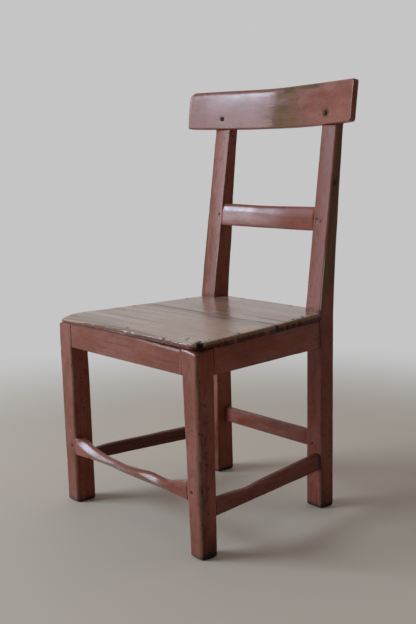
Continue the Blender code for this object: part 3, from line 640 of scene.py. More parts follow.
def worn_radii(places, seed, scale, chips, tight=()):
    """Rounding of the four arrises along a timber, uneven and chipped here and there.

    tight lists arrises that stay sharp, where a rail joins flush: corner, from, to.
    """
    wear = settings().chair_wear
    radii = np.zeros((len(places), 4))
    for k in range(4):
        line = along_line(places, 0.35 * k)
        uneven = 1 + 0.45 * fractal(line, 0.09, seed + 7 * k)
        chip = smooth((fractal(line, 0.022, seed + 11 + 5 * k) - 0.28) / 0.5)
        radii[:, k] = wear.arris * scale[k] * uneven + chips * wear.chips * chip
    for corner, low, high in tight:
        inside = smooth((places - low) / 0.006) * smooth((high - places) / 0.006)
        radii[:, corner] *= 1 - inside
    return np.maximum(radii, 0.0003)


def dress(obj, material, slot, *nodes, rubbed=None, rubbed_side=(0, -1, 0)):
    """Gives a piece its finish and its place on the frame, and hides the CAD nodes that it stands for.

    rubbed is the finish of the faces that look to the rubbed side, where it differs.
    """
    obj.data.materials.append(material)
    if rubbed:
        obj.data.materials.append(rubbed)
        for face in obj.data.polygons:
            face.material_index = int(face.normal.dot(rubbed_side) > 0.5)
    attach(obj, "root")
    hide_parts(*nodes)


def cutting_solid(name, points, faces):
    """A solid to cut with, removed after use."""
    mesh = bpy.data.meshes.new(name)
    mesh.from_pydata((np.asarray(points, float) + (0, FRONT, 0)).tolist(), [], faces)
    turn_outwards(mesh)
    return link(name, mesh)


def box_cutter(name, low, high):
    """A plain box to cut with."""
    corners = list(itertools.product(*zip(low, high)))
    faces = [(0, 1, 3, 2), (4, 6, 7, 5), (0, 4, 5, 1), (2, 3, 7, 6), (0, 2, 6, 4), (1, 5, 7, 3)]
    return cutting_solid(name, corners, faces)


def pit_cutter(name, place, top_radius, bottom_radius, depth, seed):
    """A ragged round pit to cut with, its mouth at this place."""
    sides = 11
    turn = np.linspace(0, 2 * pi, sides, endpoint=False)
    rings = []
    for radius, z in ((bottom_radius, -depth), (top_radius, 0.0), (top_radius * 1.3, 0.002)):
        ragged = radius * (1 + 0.16 * np.sin(3 * turn + seed) + 0.10 * np.sin(5 * turn + 2.3 * seed))
        rings.append(np.stack([ragged * np.cos(turn), ragged * np.sin(turn), np.full(sides, z)], -1))
    faces = [tuple(range(sides)), tuple(range(2 * sides, 3 * sides))]
    for level, i in itertools.product((0, sides), range(sides)):
        a, b = level + i, level + (i + 1) % sides
        faces.append((a, b, b + sides, a + sides))
    return cutting_solid(name, np.concatenate(rings) + np.asarray(place), faces)


def cut(obj, cutters):
    """Cuts the cutters out of the piece and removes them."""
    group = bpy.data.collections.new(obj.name + "_cuts")
    for cutter in cutters:
        group.objects.link(cutter)
    modifier = obj.modifiers.new("cuts", "BOOLEAN")
    modifier.operation = "DIFFERENCE"
    modifier.operand_type = "COLLECTION"
    modifier.collection = group
    modifier.solver = "EXACT"
    bpy.context.view_layer.update()
    evaluated = obj.evaluated_get(bpy.context.evaluated_depsgraph_get())
    mesh = bpy.data.meshes.new_from_object(evaluated)
    if len(mesh.polygons) < len(obj.data.polygons) / 2:
        raise RuntimeError(f"{obj.name} was lost in its cuts")
    obj.modifiers.clear()
    old, obj.data = obj.data, mesh
    bpy.data.meshes.remove(old)
    for cutter in cutters:
        bpy.data.objects.remove(cutter)
    bpy.data.collections.remove(group)
    mesh.shade_smooth()
    mesh.set_sharp_from_angle(angle=radians(50))


class Finish:
    """A material in the making, with short words for the nodes that the finishes share."""

    def __init__(self, name):
        self.material = bpy.data.materials.new(name)
        self.material.use_nodes = True
        self.tree = self.material.node_tree
        self.shader = self.tree.nodes["Principled BSDF"]

    def node(self, kind, values=None, **sockets):
        made = self.tree.nodes.new(kind)
        for key, value in (values or {}).items():
            setattr(made, key, value)
        for key, value in sockets.items():
            self.join(value, made.inputs[key.replace("_", " ")])
        return made

    def join(self, value, socket):
        if isinstance(value, bpy.types.NodeSocket):
            self.tree.links.new(value, socket)
        else:
            socket.default_value = value

    def attribute(self, name):
        return self.node("ShaderNodeAttribute", {"attribute_name": name}).outputs["Vector"]

    def split(self, vector):
        return self.node("ShaderNodeSeparateXYZ", Vector=vector).outputs

    def stretched(self, vector, scale):
        mapping = self.node("ShaderNodeMapping", Vector=vector)
        mapping.inputs["Scale"].default_value = scale
        return mapping.outputs["Vector"]

    def noise(self, vector, scale, detail=4.0, roughness=0.55, distortion=0.0):
        return self.node(
            "ShaderNodeTexNoise",
            Vector=self.stretched(vector, scale),
            Scale=1.0,
            Detail=detail,
            Roughness=roughness,
            Distortion=distortion,
        ).outputs["Fac"]

    def specks(self, vector, scale, size):
        cells = self.node("ShaderNodeTexVoronoi", Vector=self.stretched(vector, scale), Scale=1.0)
        return self.ramp(cells.outputs["Distance"], size, size * 0.55)

    def ramp(self, value, low, high, out_low=0.0, out_high=1.0):
        """A soft step from out_low at low to out_high at high."""
        made = self.node("ShaderNodeMapRange", {"interpolation_type": "SMOOTHSTEP"})
        self.join(value, made.inputs["Value"])
        limits = {"From Min": low, "From Max": high, "To Min": out_low, "To Max": out_high}
        for key, number in limits.items():
            made.inputs[key].default_value = number
        return made.outputs["Result"]

    def sum(self, *terms):
        """Adds up sockets and numbers; a pair is a socket times a number."""
        total = None
        for term in terms:
            if isinstance(term, tuple):
                term = self.maths("MULTIPLY", *term)
            total = term if total is None else self.maths("ADD", total, term)
        return total

    def maths(self, operation, first, second):
        if not any(isinstance(value, bpy.types.NodeSocket) for value in (first, second)):
            return first * second if operation == "MULTIPLY" else first + second
        made = self.node("ShaderNodeMath", {"operation": operation})
        self.join(first, made.inputs[0])
        self.join(second, made.inputs[1])
        return made.outputs[0]

    def mix(self, share, first, second):
        made = self.node("ShaderNodeMix", {"data_type": "RGBA"})
        self.join(share, made.inputs["Factor"])
        colours = {socket.name: socket for socket in made.inputs if socket.type == "RGBA"}
        self.join(first, colours["A"])
        self.join(second, colours["B"])
        return next(s for s in made.outputs if s.type == "RGBA")

    def finish(self, colour, roughness, height, depth):
        bump = self.node("ShaderNodeBump", Height=height)
        bump.inputs["Strength"].default_value = 1.0
        bump.inputs["Distance"].default_value = depth
        self.join(colour, self.shader.inputs["Base Color"])
        self.join(roughness, self.shader.inputs["Roughness"])
        self.tree.links.new(bump.outputs["Normal"], self.shader.inputs["Normal"])
        return self.material


def solid(colour):
    """The colour with full cover, as a socket takes it."""
    return (*colour, 1.0)


def old_red_paint(name="old_red_paint", on_cad=None, polish=0.0):
    """Old oxide-red paint: faded in patches, streaked along the grain, chipped on the arrises, darkened by
    dirt and in places by painted shade.

    polish runs from 0, for paint left dull, to 1, for paint that hands and feet have rubbed bright. on_cad
    gives wear, darkening by dirt and painted shade, and bare for a CAD solid, which carries no attributes of
    its own.
    """
    made = bpy.data.materials.get(name)
    if made:
        return made
    paint = settings().chair_paint
    m = Finish(name)
    if on_cad:
        grain = m.node("ShaderNodeTexCoord").outputs["Object"]
        wear, grime_and_shade, bare = on_cad
    else:
        grain = m.attribute("grain")
        wear, grime_and_shade, bare = m.split(m.attribute("use"))
    dull = 0.0 if on_cad else m.ramp(bare, -1.0, 0.0, -1.0, 0.0)
    patches = m.noise(grain, (6, 15, 15), 5)
    blotches = m.noise(grain, (22, 48, 48), 4)
    streaks = m.noise(grain, (7, 190, 190), 4, 0.6)
    fibres = m.noise(grain, (45, 700, 700), 3, 0.6)
    crumbs = m.noise(grain, (260, 420, 420), 3, 0.6)
    flecks = m.noise(grain, (70, 150, 150), 3, 0.7)
    fading = m.ramp(m.sum((patches, 0.7), (blotches, 0.3)), 0.40, 0.60)
    colour = m.mix(fading, solid(paint.red), solid(paint.faded))
    colour = m.mix(m.ramp(flecks, 0.32, 0.46, 0.40, 0.0), colour, solid(paint.faded))
    colour = m.mix(m.ramp(flecks, 0.54, 0.70, 0.0, 0.50), colour, solid(paint.dark))
    colour = m.mix(m.ramp(streaks, 0.52, 0.74, 0.0, 0.55), colour, solid(paint.dark))
    rubbed = m.mix(m.ramp(streaks, 0.40, 0.62), solid(paint.olive), solid(paint.tan))
    off = m.ramp(m.sum(bare, (blotches, 0.8), (streaks, 0.7), (crumbs, 0.2), -0.85), 0.30, 0.74)
    colour = m.mix(off, colour, rubbed)
    chip = m.ramp(m.sum((wear, 0.75), (crumbs, 0.9), (patches, 1.3), (fibres, 0.4), -1.78), 0.12, 0.26)
    chip_colour = m.mix(m.ramp(blotches, 0.44, 0.58), solid(paint.olive), solid(paint.tan))
    if not on_cad:
        chip_colour = m.mix(m.ramp(wear, 1.0, 1.3), chip_colour, solid(paint.raw))
    colour = m.mix(chip, colour, chip_colour)
    # Darkening from the grime channel: dirt, and painted shade where a piece is darkened for the shade on it.
    dirty = 0.0 if on_cad else m.ramp(grime_and_shade, 0.02, 0.10)
    spotted = m.maths("MULTIPLY", m.ramp(patches, 0.48, 0.60), dirty)
    dots = m.maths("MULTIPLY", m.specks(grain, (70, 95, 95), 0.20), spotted)
    soil_and_shade = m.ramp(m.sum(grime_and_shade, (dots, 0.90), (crumbs, 0.35), (streaks, 0.25), -0.32), 0.12, 0.85)
    colour = m.mix(soil_and_shade, colour, solid(paint.grime_and_shade))
    roughness = m.sum(
        (m.ramp(blotches, 0.35, 0.68), 0.14 - 0.10 * polish),
        (chip, 0.20),
        (off, 0.08),
        (soil_and_shade, 0.25),
        (dull, -0.15 * polish),
        paint.roughness - 0.19 * polish,
    )
    gloss = 0.12 + 0.46 * polish
    if polish:
        gloss = m.sum((dull, 0.42 * polish), (off, -0.62 * polish), (soil_and_shade, -0.15 * polish), gloss)
    m.join(gloss, m.shader.inputs["Specular IOR Level"])
    height = m.sum((streaks, 0.55), (fibres, 0.22), (blotches, 0.5), (chip, -0.7), (dots, -0.8))
    return m.finish(colour, roughness, height, 0.0005 - 0.00035 * polish)


def rubbed_red_paint():
    return old_red_paint("rubbed_red_paint", polish=0.60)


def bright_red_paint():
    return old_red_paint("bright_red_paint", polish=0.75)


def polished_red_paint():
    return old_red_paint("polished_red_paint", polish=1.0)


def bare_seat_wood(name, gloss, smoothing, stain_and_reflection_share):
    """Bare boards polished by use: grain from side to side, tan edges, red left on the front edge.

    gloss and smoothing tell how bright the wood is rubbed, and the last share how far the board is reddened:
    how much red paint has soaked in, and on the rear board also a painted reflection of the red post.
    """
    seat, paint = settings().chair_seat, settings().chair_paint
    m = Finish(name)
    grain = m.attribute("grain")
    wear, grime_and_shade, painted = m.split(m.attribute("use"))
    bands = m.noise(grain, (2.2, 42, 42), 4, 0.55, 0.7)
    fibres = m.noise(grain, (14, 420, 420), 4, 0.62)
    pores = m.noise(grain, (55, 1100, 300), 2, 0.5)
    clouds = m.noise(grain, (5, 9, 9), 4)
    scuffs = m.noise(grain, (120, 160, 160), 3)
    figure = m.ramp(m.sum((bands, 0.6), (clouds, 0.4)), 0.36, 0.64)
    colour = m.mix(figure, solid(seat.deep), solid(seat.pale))
    colour = m.mix(m.ramp(fibres, 0.48, 0.70, 0.0, 0.65), colour, solid(seat.deep))
    soaked = m.ramp(m.sum((clouds, 0.7), (bands, 0.3)), 0.48, 0.64, 0.0, 0.45)
    colour = m.mix(soaked, colour, solid(seat.red_stain_and_reflection))
    colour = m.mix(m.ramp(pores, 0.60, 0.74, 0.0, 0.35), colour, solid(paint.olive))
    # Reddens the whole board: red paint soaked in, and on the rear board also a painted reflection of the red
    # post.
    if stain_and_reflection_share:
        colour = m.mix(stain_and_reflection_share, colour, solid(seat.red_stain_and_reflection))
    tan_edge = m.ramp(m.sum(wear, (clouds, 0.5), (fibres, 0.4), -0.45), 0.25, 0.75)
    colour = m.mix(tan_edge, colour, solid(seat.edge))
    red = m.ramp(m.sum(painted, (scuffs, 0.5), (fibres, 0.3), -0.4), 0.40, 0.56)
    red_paint = m.mix(m.ramp(scuffs, 0.4, 0.62), solid(paint.dark), solid(paint.red))
    colour = m.mix(red, colour, red_paint)
    # Darkening from the grime channel: dirt, and painted shade in the chip and the broken corner.
    soil_and_shade = m.ramp(m.sum(grime_and_shade, (scuffs, 0.4), (fibres, 0.3), -0.35), 0.10, 0.80)
    colour = m.mix(soil_and_shade, colour, solid(paint.grime_and_shade))
    clean_red = m.maths("MULTIPLY", red, m.ramp(soil_and_shade, 0.1, 0.5, 1.0, 0.0))
    m.join(m.sum((tan_edge, -0.8 * gloss), (clean_red, 0.45), gloss), m.shader.inputs["Specular IOR Level"])
    roughness = m.sum(
        (m.ramp(clouds, 0.35, 0.65), 0.10),
        (fibres, 0.14),
        (soil_and_shade, 0.25),
        (tan_edge, 0.2),
        seat.roughness - smoothing,
    )
    height = m.sum((bands, 0.35), (fibres, 0.60), (pores, -0.35), (scuffs, 0.25), (red, 0.2))
    return m.finish(colour, roughness, height, 0.0003)


def old_iron():
    """Hand-made nails: dark iron, browned by rust in patches."""
    m = Finish("old_iron")
    place = m.node("ShaderNodeTexCoord").outputs["Object"]
    rust = m.noise(place, (420, 420, 420), 4)
    hammered = m.noise(place, (900, 900, 900), 2)
    colour = m.mix(m.ramp(rust, 0.42, 0.60), (0.022, 0.020, 0.021, 1), (0.060, 0.030, 0.018, 1))
    m.shader.inputs["Metallic"].default_value = 0.75
    roughness = m.ramp(rust, 0.35, 0.65, 0.38, 0.68)
    return m.finish(colour, roughness, m.sum((hammered, 0.6), (rust, 0.4)), 0.0004)


def quad(x_low, x_high, y_low, y_high, z):
    """The corners of level sections: front left, front right, back right, back left."""
    x_low, x_high, y_low, y_high, z = np.broadcast_arrays(x_low, x_high, y_low, y_high, z)
    rows = ((x_low, y_low), (x_high, y_low), (x_high, y_high), (x_low, y_high))
    return np.stack([np.stack([x, y, z], -1) for x, y in rows], axis=-2)


def upright(x, y_front, y_back, z_bottom, z_top):
    """The corners of sections across X: front bottom, back bottom, back top, front top."""
    x, y_front, y_back, z_bottom, z_top = np.broadcast_arrays(x, y_front, y_back, z_bottom, z_top)
    rows = ((y_front, z_bottom), (y_back, z_bottom), (y_back, z_top), (y_front, z_top))
    return np.stack([np.stack([x, y, z], -1) for y, z in rows], axis=-2)


class ChairFrontLegs(Operator):
    """Build the front legs, with worn feet, rounded tops and through mortises"""

    bl_idname = "chair.front_legs"
    bl_label = "Front Legs"

    def execute(self, context):
        for side in (LEFT, RIGHT):
            name = f"front_leg_{SIDE_NAMES[side]}"
            leg = self.shape(side, context.scene.chair_wear)
            self.soil_and_rub(leg, side)
            for knock in self.dents(side):
                leg.dent(*knock)
            obj = leg.object(name)
            cut(obj, [self.mortise(name, side)])
            dress(obj, old_red_paint(), "painted_wood", name, rubbed=bright_red_paint())
        return {"FINISHED"}

    def shape(self, side, wear):
        """The leg, tapering back to its foot and cut to the slope of the seat."""
        top = seat_underside(LEG_DEPTH / 2) - GAP
        close_rings = np.arange(top - 0.014, top - 0.002, 0.0014)
        z, inset = stations(0.0, top, 0.0045, FOOT_ROUNDING, 0.0015, close_rings)
        outer_half = FRONT_HALF + (LEFT_LEG_SPREAD if side == LEFT else 0.0)
        inner, outer = side * leg_inner(z), side * outer_half
        low, high = (outer, inner) if side == LEFT else (inner, outer)
        corners = quad(low, high, leg_front(z), leg_back(side, z), z)
        inner_front = 1 if side == LEFT else 0
        joints = ((inner_front, RAIL_BOTTOM, SEAT_HEIGHT), (inner_front, STRETCHER_BOTTOM, STRETCHER_TOP))
        scale = (1.2, 2.0, 1.0, 1.2) if side == LEFT else (1.4, 2.7, 1.3, 1.0)
        radii = worn_radii(z, 3 + side, scale, 0.8, joints)
        leg = Timber(corners, radii, inset, (11, 11, 6, 11), arc=5, seed=2 if side == LEFT else 9)
        near_top = smooth((leg.points[..., 2] - RAIL_BOTTOM) / 0.04)
        slope = SEAT_FALL / POST_FRONT_AT_SEAT
        leg.points[..., 2] += near_top * slope * (leg.points[..., 1] - LEG_DEPTH / 2)
        below_rail = smooth((RAIL_BOTTOM - leg.points[..., 2]) / 0.05)
        swell_front(leg, leg_front(leg.points[..., 2]), 0.0008 * below_rail)
        self.wear_top(leg, side, top)
        return leg.roughen(wear.unevenness)

    def wear_top(self, leg, side, top):
        """Rounds the leg's top over, most of all at the outer front corner."""
        x, y, z = np.moveaxis(leg.points, -1, 0)
        round_over = 0.010 if side == RIGHT else 0.007
        pull = rounded(top - z, round_over)
        in_front = smooth(1 - y / 0.030)
        outside = smooth(1 - (FRONT_HALF - side * x) / 0.030)
        corner = smooth(1 - np.hypot(FRONT_HALF - side * x, y) / 0.045)
        leg.points[..., 1] += pull * in_front
        leg.points[..., 0] -= side * pull * outside
        leg.points[..., 2] -= 0.45 * round_over * corner * smooth((z - top + 0.03) / 0.03)
        leg.wear = np.maximum(leg.wear, 0.25 * smooth(pull / 0.004) * np.maximum(in_front, outside))

    def soil_and_rub(self, leg, side):
        """Dirties the foot and outer face, keeps the right leg cleaner than the left as painted light, and
        rubs the low front and the right leg's arrises.
        """
        x, y, z = np.moveaxis(leg.points, -1, 0)
        outer_face = leg.outer_face(side, FRONT_HALF)
        mottled = np.clip(0.5 + 0.9 * fractal(leg.points * (1, 1, 0.4), 0.022, 6), 0, 1)
        # The right leg gets less base darkening than the left: a painted light, for the brighter light on its
        # front.
        leg.grime_and_shade = 0.06 - 0.04 * side + (0.38 + 0.04 * side) * outer_face * mottled
        leg.grime_and_shade += foot_dirt(leg, 0.25, 0.9) + 0.10 * outer_face * smooth(1 - z / 0.14)
        low_front = smooth(1 - z / 0.24) * leg.near_front(leg_front(z), 0.006)
        leg.bare = 0.44 * low_front * (1 - outer_face)
        if side == RIGHT:
            front_arris = smooth(1 - np.hypot(FRONT_HALF - x, y - leg_front(z)) / 0.0085)
            rear_arris = smooth((y - LEG_DEPTH + 0.0035) / 0.002) * outer_face
            leg.bare += 0.62 * front_arris * smooth((z - 0.03) / 0.05)
            leg.bare += 0.9 * rear_arris * smooth((z - RAIL_BOTTOM) / 0.02)

    def dents(self, side):
        """Place, radius and depth of each knock on the leg."""
        if side == LEFT:
            return [((-0.206, 0.004, 0.190), 0.003, 0.0008), ((-0.203, 0.005, 0.150), 0.003, 0.0010)]
        return [
            ((0.214, 0.002, 0.250), 0.003, 0.0008),
            ((0.208, 0.003, 0.160), 0.004, 0.0010),
            ((0.222, 0.004, 0.145), 0.003, 0.0008),
            ((0.2335, 0.020, 0.265), 0.004, 0.0010),
            ((0.2335, 0.030, 0.180), 0.003, 0.0009),
            ((0.2335, 0.014, 0.060), 0.004, 0.0010),
        ]

    def mortise(self, name, side):
        """The cut right through the leg for the front stretcher's tenon."""
        x_low, x_high = sorted((side * (LEG_INNER - 0.02), side * (FRONT_HALF + 0.01)))
        half = STRETCHER_TENON / 2 + TENON_SLACK
        shoulder = TENON_SHOULDER - TENON_SLACK
        return box_cutter(
            name + "_mortise",
            (x_low, stretcher_middle() - half, STRETCHER_BOTTOM + shoulder),
            (x_high, stretcher_middle() + half, STRETCHER_TOP - shoulder),
        )


class ChairRearPosts(Operator):
    """Build the raked back posts, notched behind the crest rail"""

    bl_idname = "chair.rear_posts"
    bl_label = "Rear Posts"

    def execute(self, context):
        for side in (LEFT, RIGHT):
            name = f"rear_post_{SIDE_NAMES[side]}"
            post = self.shape(side, context.scene.chair_wear)
            self.soil_and_rub(post, side)
            for knock in self.dents(side):
                post.dent(*knock)
            dress(post.object(name), old_red_paint(), "painted_wood", name, rubbed=rubbed_red_paint())
        return {"FINISHED"}

    def shape(self, side, wear):
        """The post, with its front cut back above the ledge that the crest rail sits on."""
        ledge = CREST_BOTTOM - GAP
        at_ledge = (ledge - 0.0012, ledge, ledge + 0.00001)
        z, inset = stations(0.0, POST_TOP, 0.0050, FOOT_ROUNDING, 0.002, at_ledge)
        inner, outer = self.widths(side, z)
        low, high = (-outer, -inner) if side == LEFT else (inner, outer)
        back = post_back(side, z) + POST_BACK_DRIFT[side] * smooth((z - SEAT_HEIGHT) / 0.15)
        corners = quad(low, high, post_front(z), back, z)
        notched = z > ledge
        for corner in (0, 1):
            behind = crest_back(corners[:, corner, 0], z) + GAP
            corners[notched, corner, 1] = behind[notched]
        inner_front = 1 if side == LEFT else 0
        joints = ((inner_front, MID_RAIL_BOTTOM, 0.642), (inner_front, 0.42, 0.434))
        scale = (0.9, 0.6, 0.5, 0.7) if side == LEFT else (0.6, 1.4, 0.9, 0.4)
        radii = worn_radii(z, 13 + side, scale, 0.7, joints)
        radii[z > ledge - 0.001] = 0.0012
        post = Timber(corners, radii, inset, (14, 8, 6, 8), seed=13 + side)
        swell_front(post, post_front(post.points[..., 2]), 0.0010)
        return post.roughen(wear.unevenness)

    def widths(self, side, z):
        """Half widths to the inner and outer faces. The left post stands out and spreads at its top."""
        if side == RIGHT:
            return POST_INNER, REAR_HALF - 0.0012 * smooth((z - SEAT_HEIGHT) / 0.08)
        above_rail = np.clip((z - MID_RAIL_BOTTOM - MID_RAIL_HEIGHT) / 0.16, 0, 1)
        inner = POST_INNER - 0.0045 * above_rail
        inner += LEFT_POST_SHIFT * smooth((z - 0.26) / 0.06) * smooth((0.59 - z) / 0.12)
        outer = REAR_HALF + 0.0065 * smooth((z - RAIL_BOTTOM) / 0.06)
        outer -= 0.0047 * smooth((z - SEAT_HEIGHT) / 0.40)
        return inner, outer

    def soil_and_rub(self, post, side):
        """Dirties the foot and the seat line, and rubs the outer face and the left inner arris."""
        x, _, z = np.moveaxis(post.points, -1, 0)
        on_front = post.near_front(post_front(z), 0.004)
        outer_face = post.outer_face(side, REAR_HALF)
        spots = np.clip(0.30 + 0.90 * fractal(post.points, 0.008, 17), 0, 1)
        at_seat = hump(z, SEAT_HEIGHT + 0.004, 0.005) * on_front
        post.grime_and_shade = 0.08 + foot_dirt(post, 0.35, 1.0) + spots * at_seat
        post.grime_and_shade += 0.08 * smooth((0.50 - z) / 0.1) + 0.14 * outer_face
        post.bare = 0.78 * outer_face * smooth((z - 0.40) / 0.1)
        above_seat = smooth((z - SEAT_HEIGHT) / 0.01) * smooth((0.57 - z) / 0.06)
        post.wear += 0.16 * above_seat * on_front + 0.4 * above_seat * post.wear
        if side == RIGHT:
            post.bare -= 0.6 * on_front
        else:
            inner_arris = on_front * smooth((POST_INNER + 0.0085 - side * x) / 0.004)
            post.wear += 1.25 * inner_arris * smooth((z - 0.43) / 0.03) * smooth((0.61 - z) / 0.06)

    def dents(self, side):
        """Place, radius, depth and darkening of each knock on the post."""
        if side == LEFT:
            return [((-0.150, 0.386, 0.560), 0.003, 0.0008, 0.5)]
        return [
            ((POST_INNER + 0.020, post_front(0.612), 0.612), 0.0032, 0.0014, 0.9),
            ((POST_INNER + 0.014, post_front(0.585), 0.585), 0.0030, 0.0014, 0.9),
            ((REAR_HALF - 0.0012, 0.412, 0.692), 0.008, 0.0008, 0.8),
        ]


class ChairSeatRails(Operator):
    """Build the seat rails, with the front one worn down at its right end"""

    bl_idname = "chair.seat_rails"
    bl_label = "Seat Rails"

    def execute(self, context):
        wear = context.scene.chair_wear
        self.across("front_seat_rail", LEG_INNER - GAP, 0.0, wear, 21)
        self.across("rear_seat_rail", POST_INNER - GAP, FRAME_DEPTH + REAR_RAIL_SETBACK, wear, 22)
        for side in (LEFT, RIGHT):
            self.along(side, wear, 24 + side)
        return {"FINISHED"}

    def across(self, name, half, front, wear, seed):
        """A rail across the chair; the front one has drawn away from the left leg."""
        in_front = name == "front_seat_rail"
        shrunk = wear.open_joint if in_front else -LEFT_POST_SHIFT
        x, inset = stations(-half + shrunk, half + GAP, 0.006, 0.0008, 0.0002)
        back = front + RAIL_THICKNESS
        corners = upright(x, front, back, RAIL_BOTTOM, 0.0)
        corners[:, 2, 2] = seat_underside(back) - GAP
        corners[:, 3, 2] = seat_underside(front) - GAP
        radii = worn_radii(x, seed, (0.8, 0.5, 0.4, 0.6), 0.6)
        if in_front:
            worn = smooth((x + 0.02) / 0.21)
            corners[:, 3, 2] -= 0.0030 * worn
            corners[:, 2, 2] -= 0.0010 * worn
            radii[:, 3] += 0.0070 * worn
        rail = Timber(corners, radii, inset, (4, 9, 4, 9), seed=seed).roughen(wear.unevenness)
        dress(rail.object(name), old_red_paint(), "painted_wood", name, rubbed=bright_red_paint())

    def along(self, side, wear, seed):
        """A rail along this side; the right one has drawn away from its post."""
        name = f"side_seat_rail_{SIDE_NAMES[side]}"
        gap = wear.open_joint if side == RIGHT else GAP
        share, inset = stations(0.0, 1.0, 0.018, 0.0025, 0.0025)
        corners = np.zeros((len(share), 4, 3))
        outer, inner = RAIL_INSET, RAIL_INSET + RAIL_THICKNESS
        for k, (in_from_face, is_top) in enumerate(((outer, 0), (inner, 0), (inner, 1), (outer, 1))):
            rear = post_front(SEAT_HEIGHT - SEAT_THICKNESS if is_top else RAIL_BOTTOM) - gap
            y = LEG_DEPTH + GAP + share * (rear - LEG_DEPTH - GAP)
            z = seat_underside(y) - GAP if is_top else np.full(len(y), RAIL_BOTTOM)
            corners[:, k] = np.stack([side * (frame_half_width(y) - in_from_face), y, z], -1)
        radii = worn_radii(corners[:, 0, 1], seed, (0.7, 0.5, 0.4, 0.5), 0.6)
        inset = inset * (FRAME_DEPTH - LEG_DEPTH)
        rail = Timber(corners, radii, inset, (4, 9, 4, 9), seed=seed).roughen(wear.unevenness)
        y_grid = rail.points[..., 1]
        rail.grime_and_shade = 0.45 * smooth((y_grid - 0.345) / 0.025)
        rail.wear += 0.8 * smooth(1 - (y_grid - LEG_DEPTH) / 0.0015)
        dress(rail.object(name), old_red_paint(), "painted_wood", name)


class ChairFrontStretcher(Operator):
    """Build the front stretcher, worn to a waist, with its through tenons"""

    bl_idname = "chair.front_stretcher"
    bl_label = "Front Stretcher"

    def execute(self, context):
        half = leg_inner(STRETCHER_TOP) - GAP
        obj = self.bar(half, context.scene.chair_wear).object("front_stretcher")
        ends = [self.tenon(side, half) for side in (LEFT, RIGHT)]
        with context.temp_override(active_object=obj, selected_editable_objects=[obj, *ends]):
            bpy.ops.object.join()
        dress(obj, rubbed_red_paint(), "painted_wood", "front_stretcher")
        return {"FINISHED"}

    def bar(self, half, wear):
        """The bar between the legs, hollowed and slanted by feet, its low front edge rubbed raw."""
        x, inset = stations(-half, half, 0.005, 0.0002, 0.0002)
        worn = smooth((half - np.abs(x)) / 0.075)
        thick = STRETCHER_THICKNESS - 0.004 * worn
        front = stretcher_middle() - thick / 2
        bottom = STRETCHER_BOTTOM + 0.0012 * worn + 0.0018 * hump(x, -0.085, 0.065)
        crown = worn_line(x, WORN_STRETCHER, 0.022)
        corners = upright(x, front, stretcher_middle() + thick / 2, bottom, crown)
        lean = leg_inner(corners[..., 2]) - leg_inner(STRETCHER_TOP)
        corners[..., 0] += np.sign(x)[:, None] * lean * (1 - worn)[:, None]
        radii = worn_radii(x, 31, (0.5, 0.9, 1.2, 1.2), 0.3)
        radii[:, 2] += 0.0055 * worn
        radii[:, 3] += 0.0020 * worn
        bar = Timber(corners, radii, inset, (5, 6, 6, 16), arc=9, seed=31).roughen(wear.unevenness * 0.8)
        x_grid, y_grid, z_grid = np.moveaxis(bar.points, -1, 0)
        across = np.abs(x_grid)
        in_front = np.clip(1 - (y_grid - front[:, None]) / thick[:, None], 0, 1)
        above = z_grid - worn_line(x_grid, FOOT_SLANT, 0.022)
        slant = tan(FOOT_SLANT_ANGLE) * (above + np.sqrt(above**2 + 0.0012**2)) / 2
        bar.points[..., 1] += slant * smooth((half - across) / 0.012) * in_front
        low_edge = smooth((bottom[:, None] + 0.0062 - z_grid) / 0.0016)
        low_edge *= smooth(1 - (across - 0.12) / 0.06)
        bar.wear = np.maximum(0.15 * bar.wear, 1.4 * low_edge)
        bar.grime_and_shade = 0.62 * low_edge
        return bar

    def tenon(self, side, half):
        """The tenon that runs through the leg on this side, with a dirty end."""
        x, inset = stations(half + 0.0002, FRONT_HALF - 0.0004, 0.01, 0.0004, 0.0008)
        front, back = stretcher_middle() - STRETCHER_TENON / 2, stretcher_middle() + STRETCHER_TENON / 2
        low, high = STRETCHER_BOTTOM + TENON_SHOULDER, STRETCHER_TOP - TENON_SHOULDER
        corners = upright(side * x, front, back, low, high)
        tenon = Timber(corners, np.full((len(x), 4), 0.0008), inset, (3, 6, 3, 6), seed=33 + side)
        tenon.grime_and_shade += 0.5 * smooth((np.abs(tenon.points[..., 0]) - FRONT_HALF + 0.006) / 0.005)
        return tenon.object(f"front_stretcher_tenon_{SIDE_NAMES[side]}")


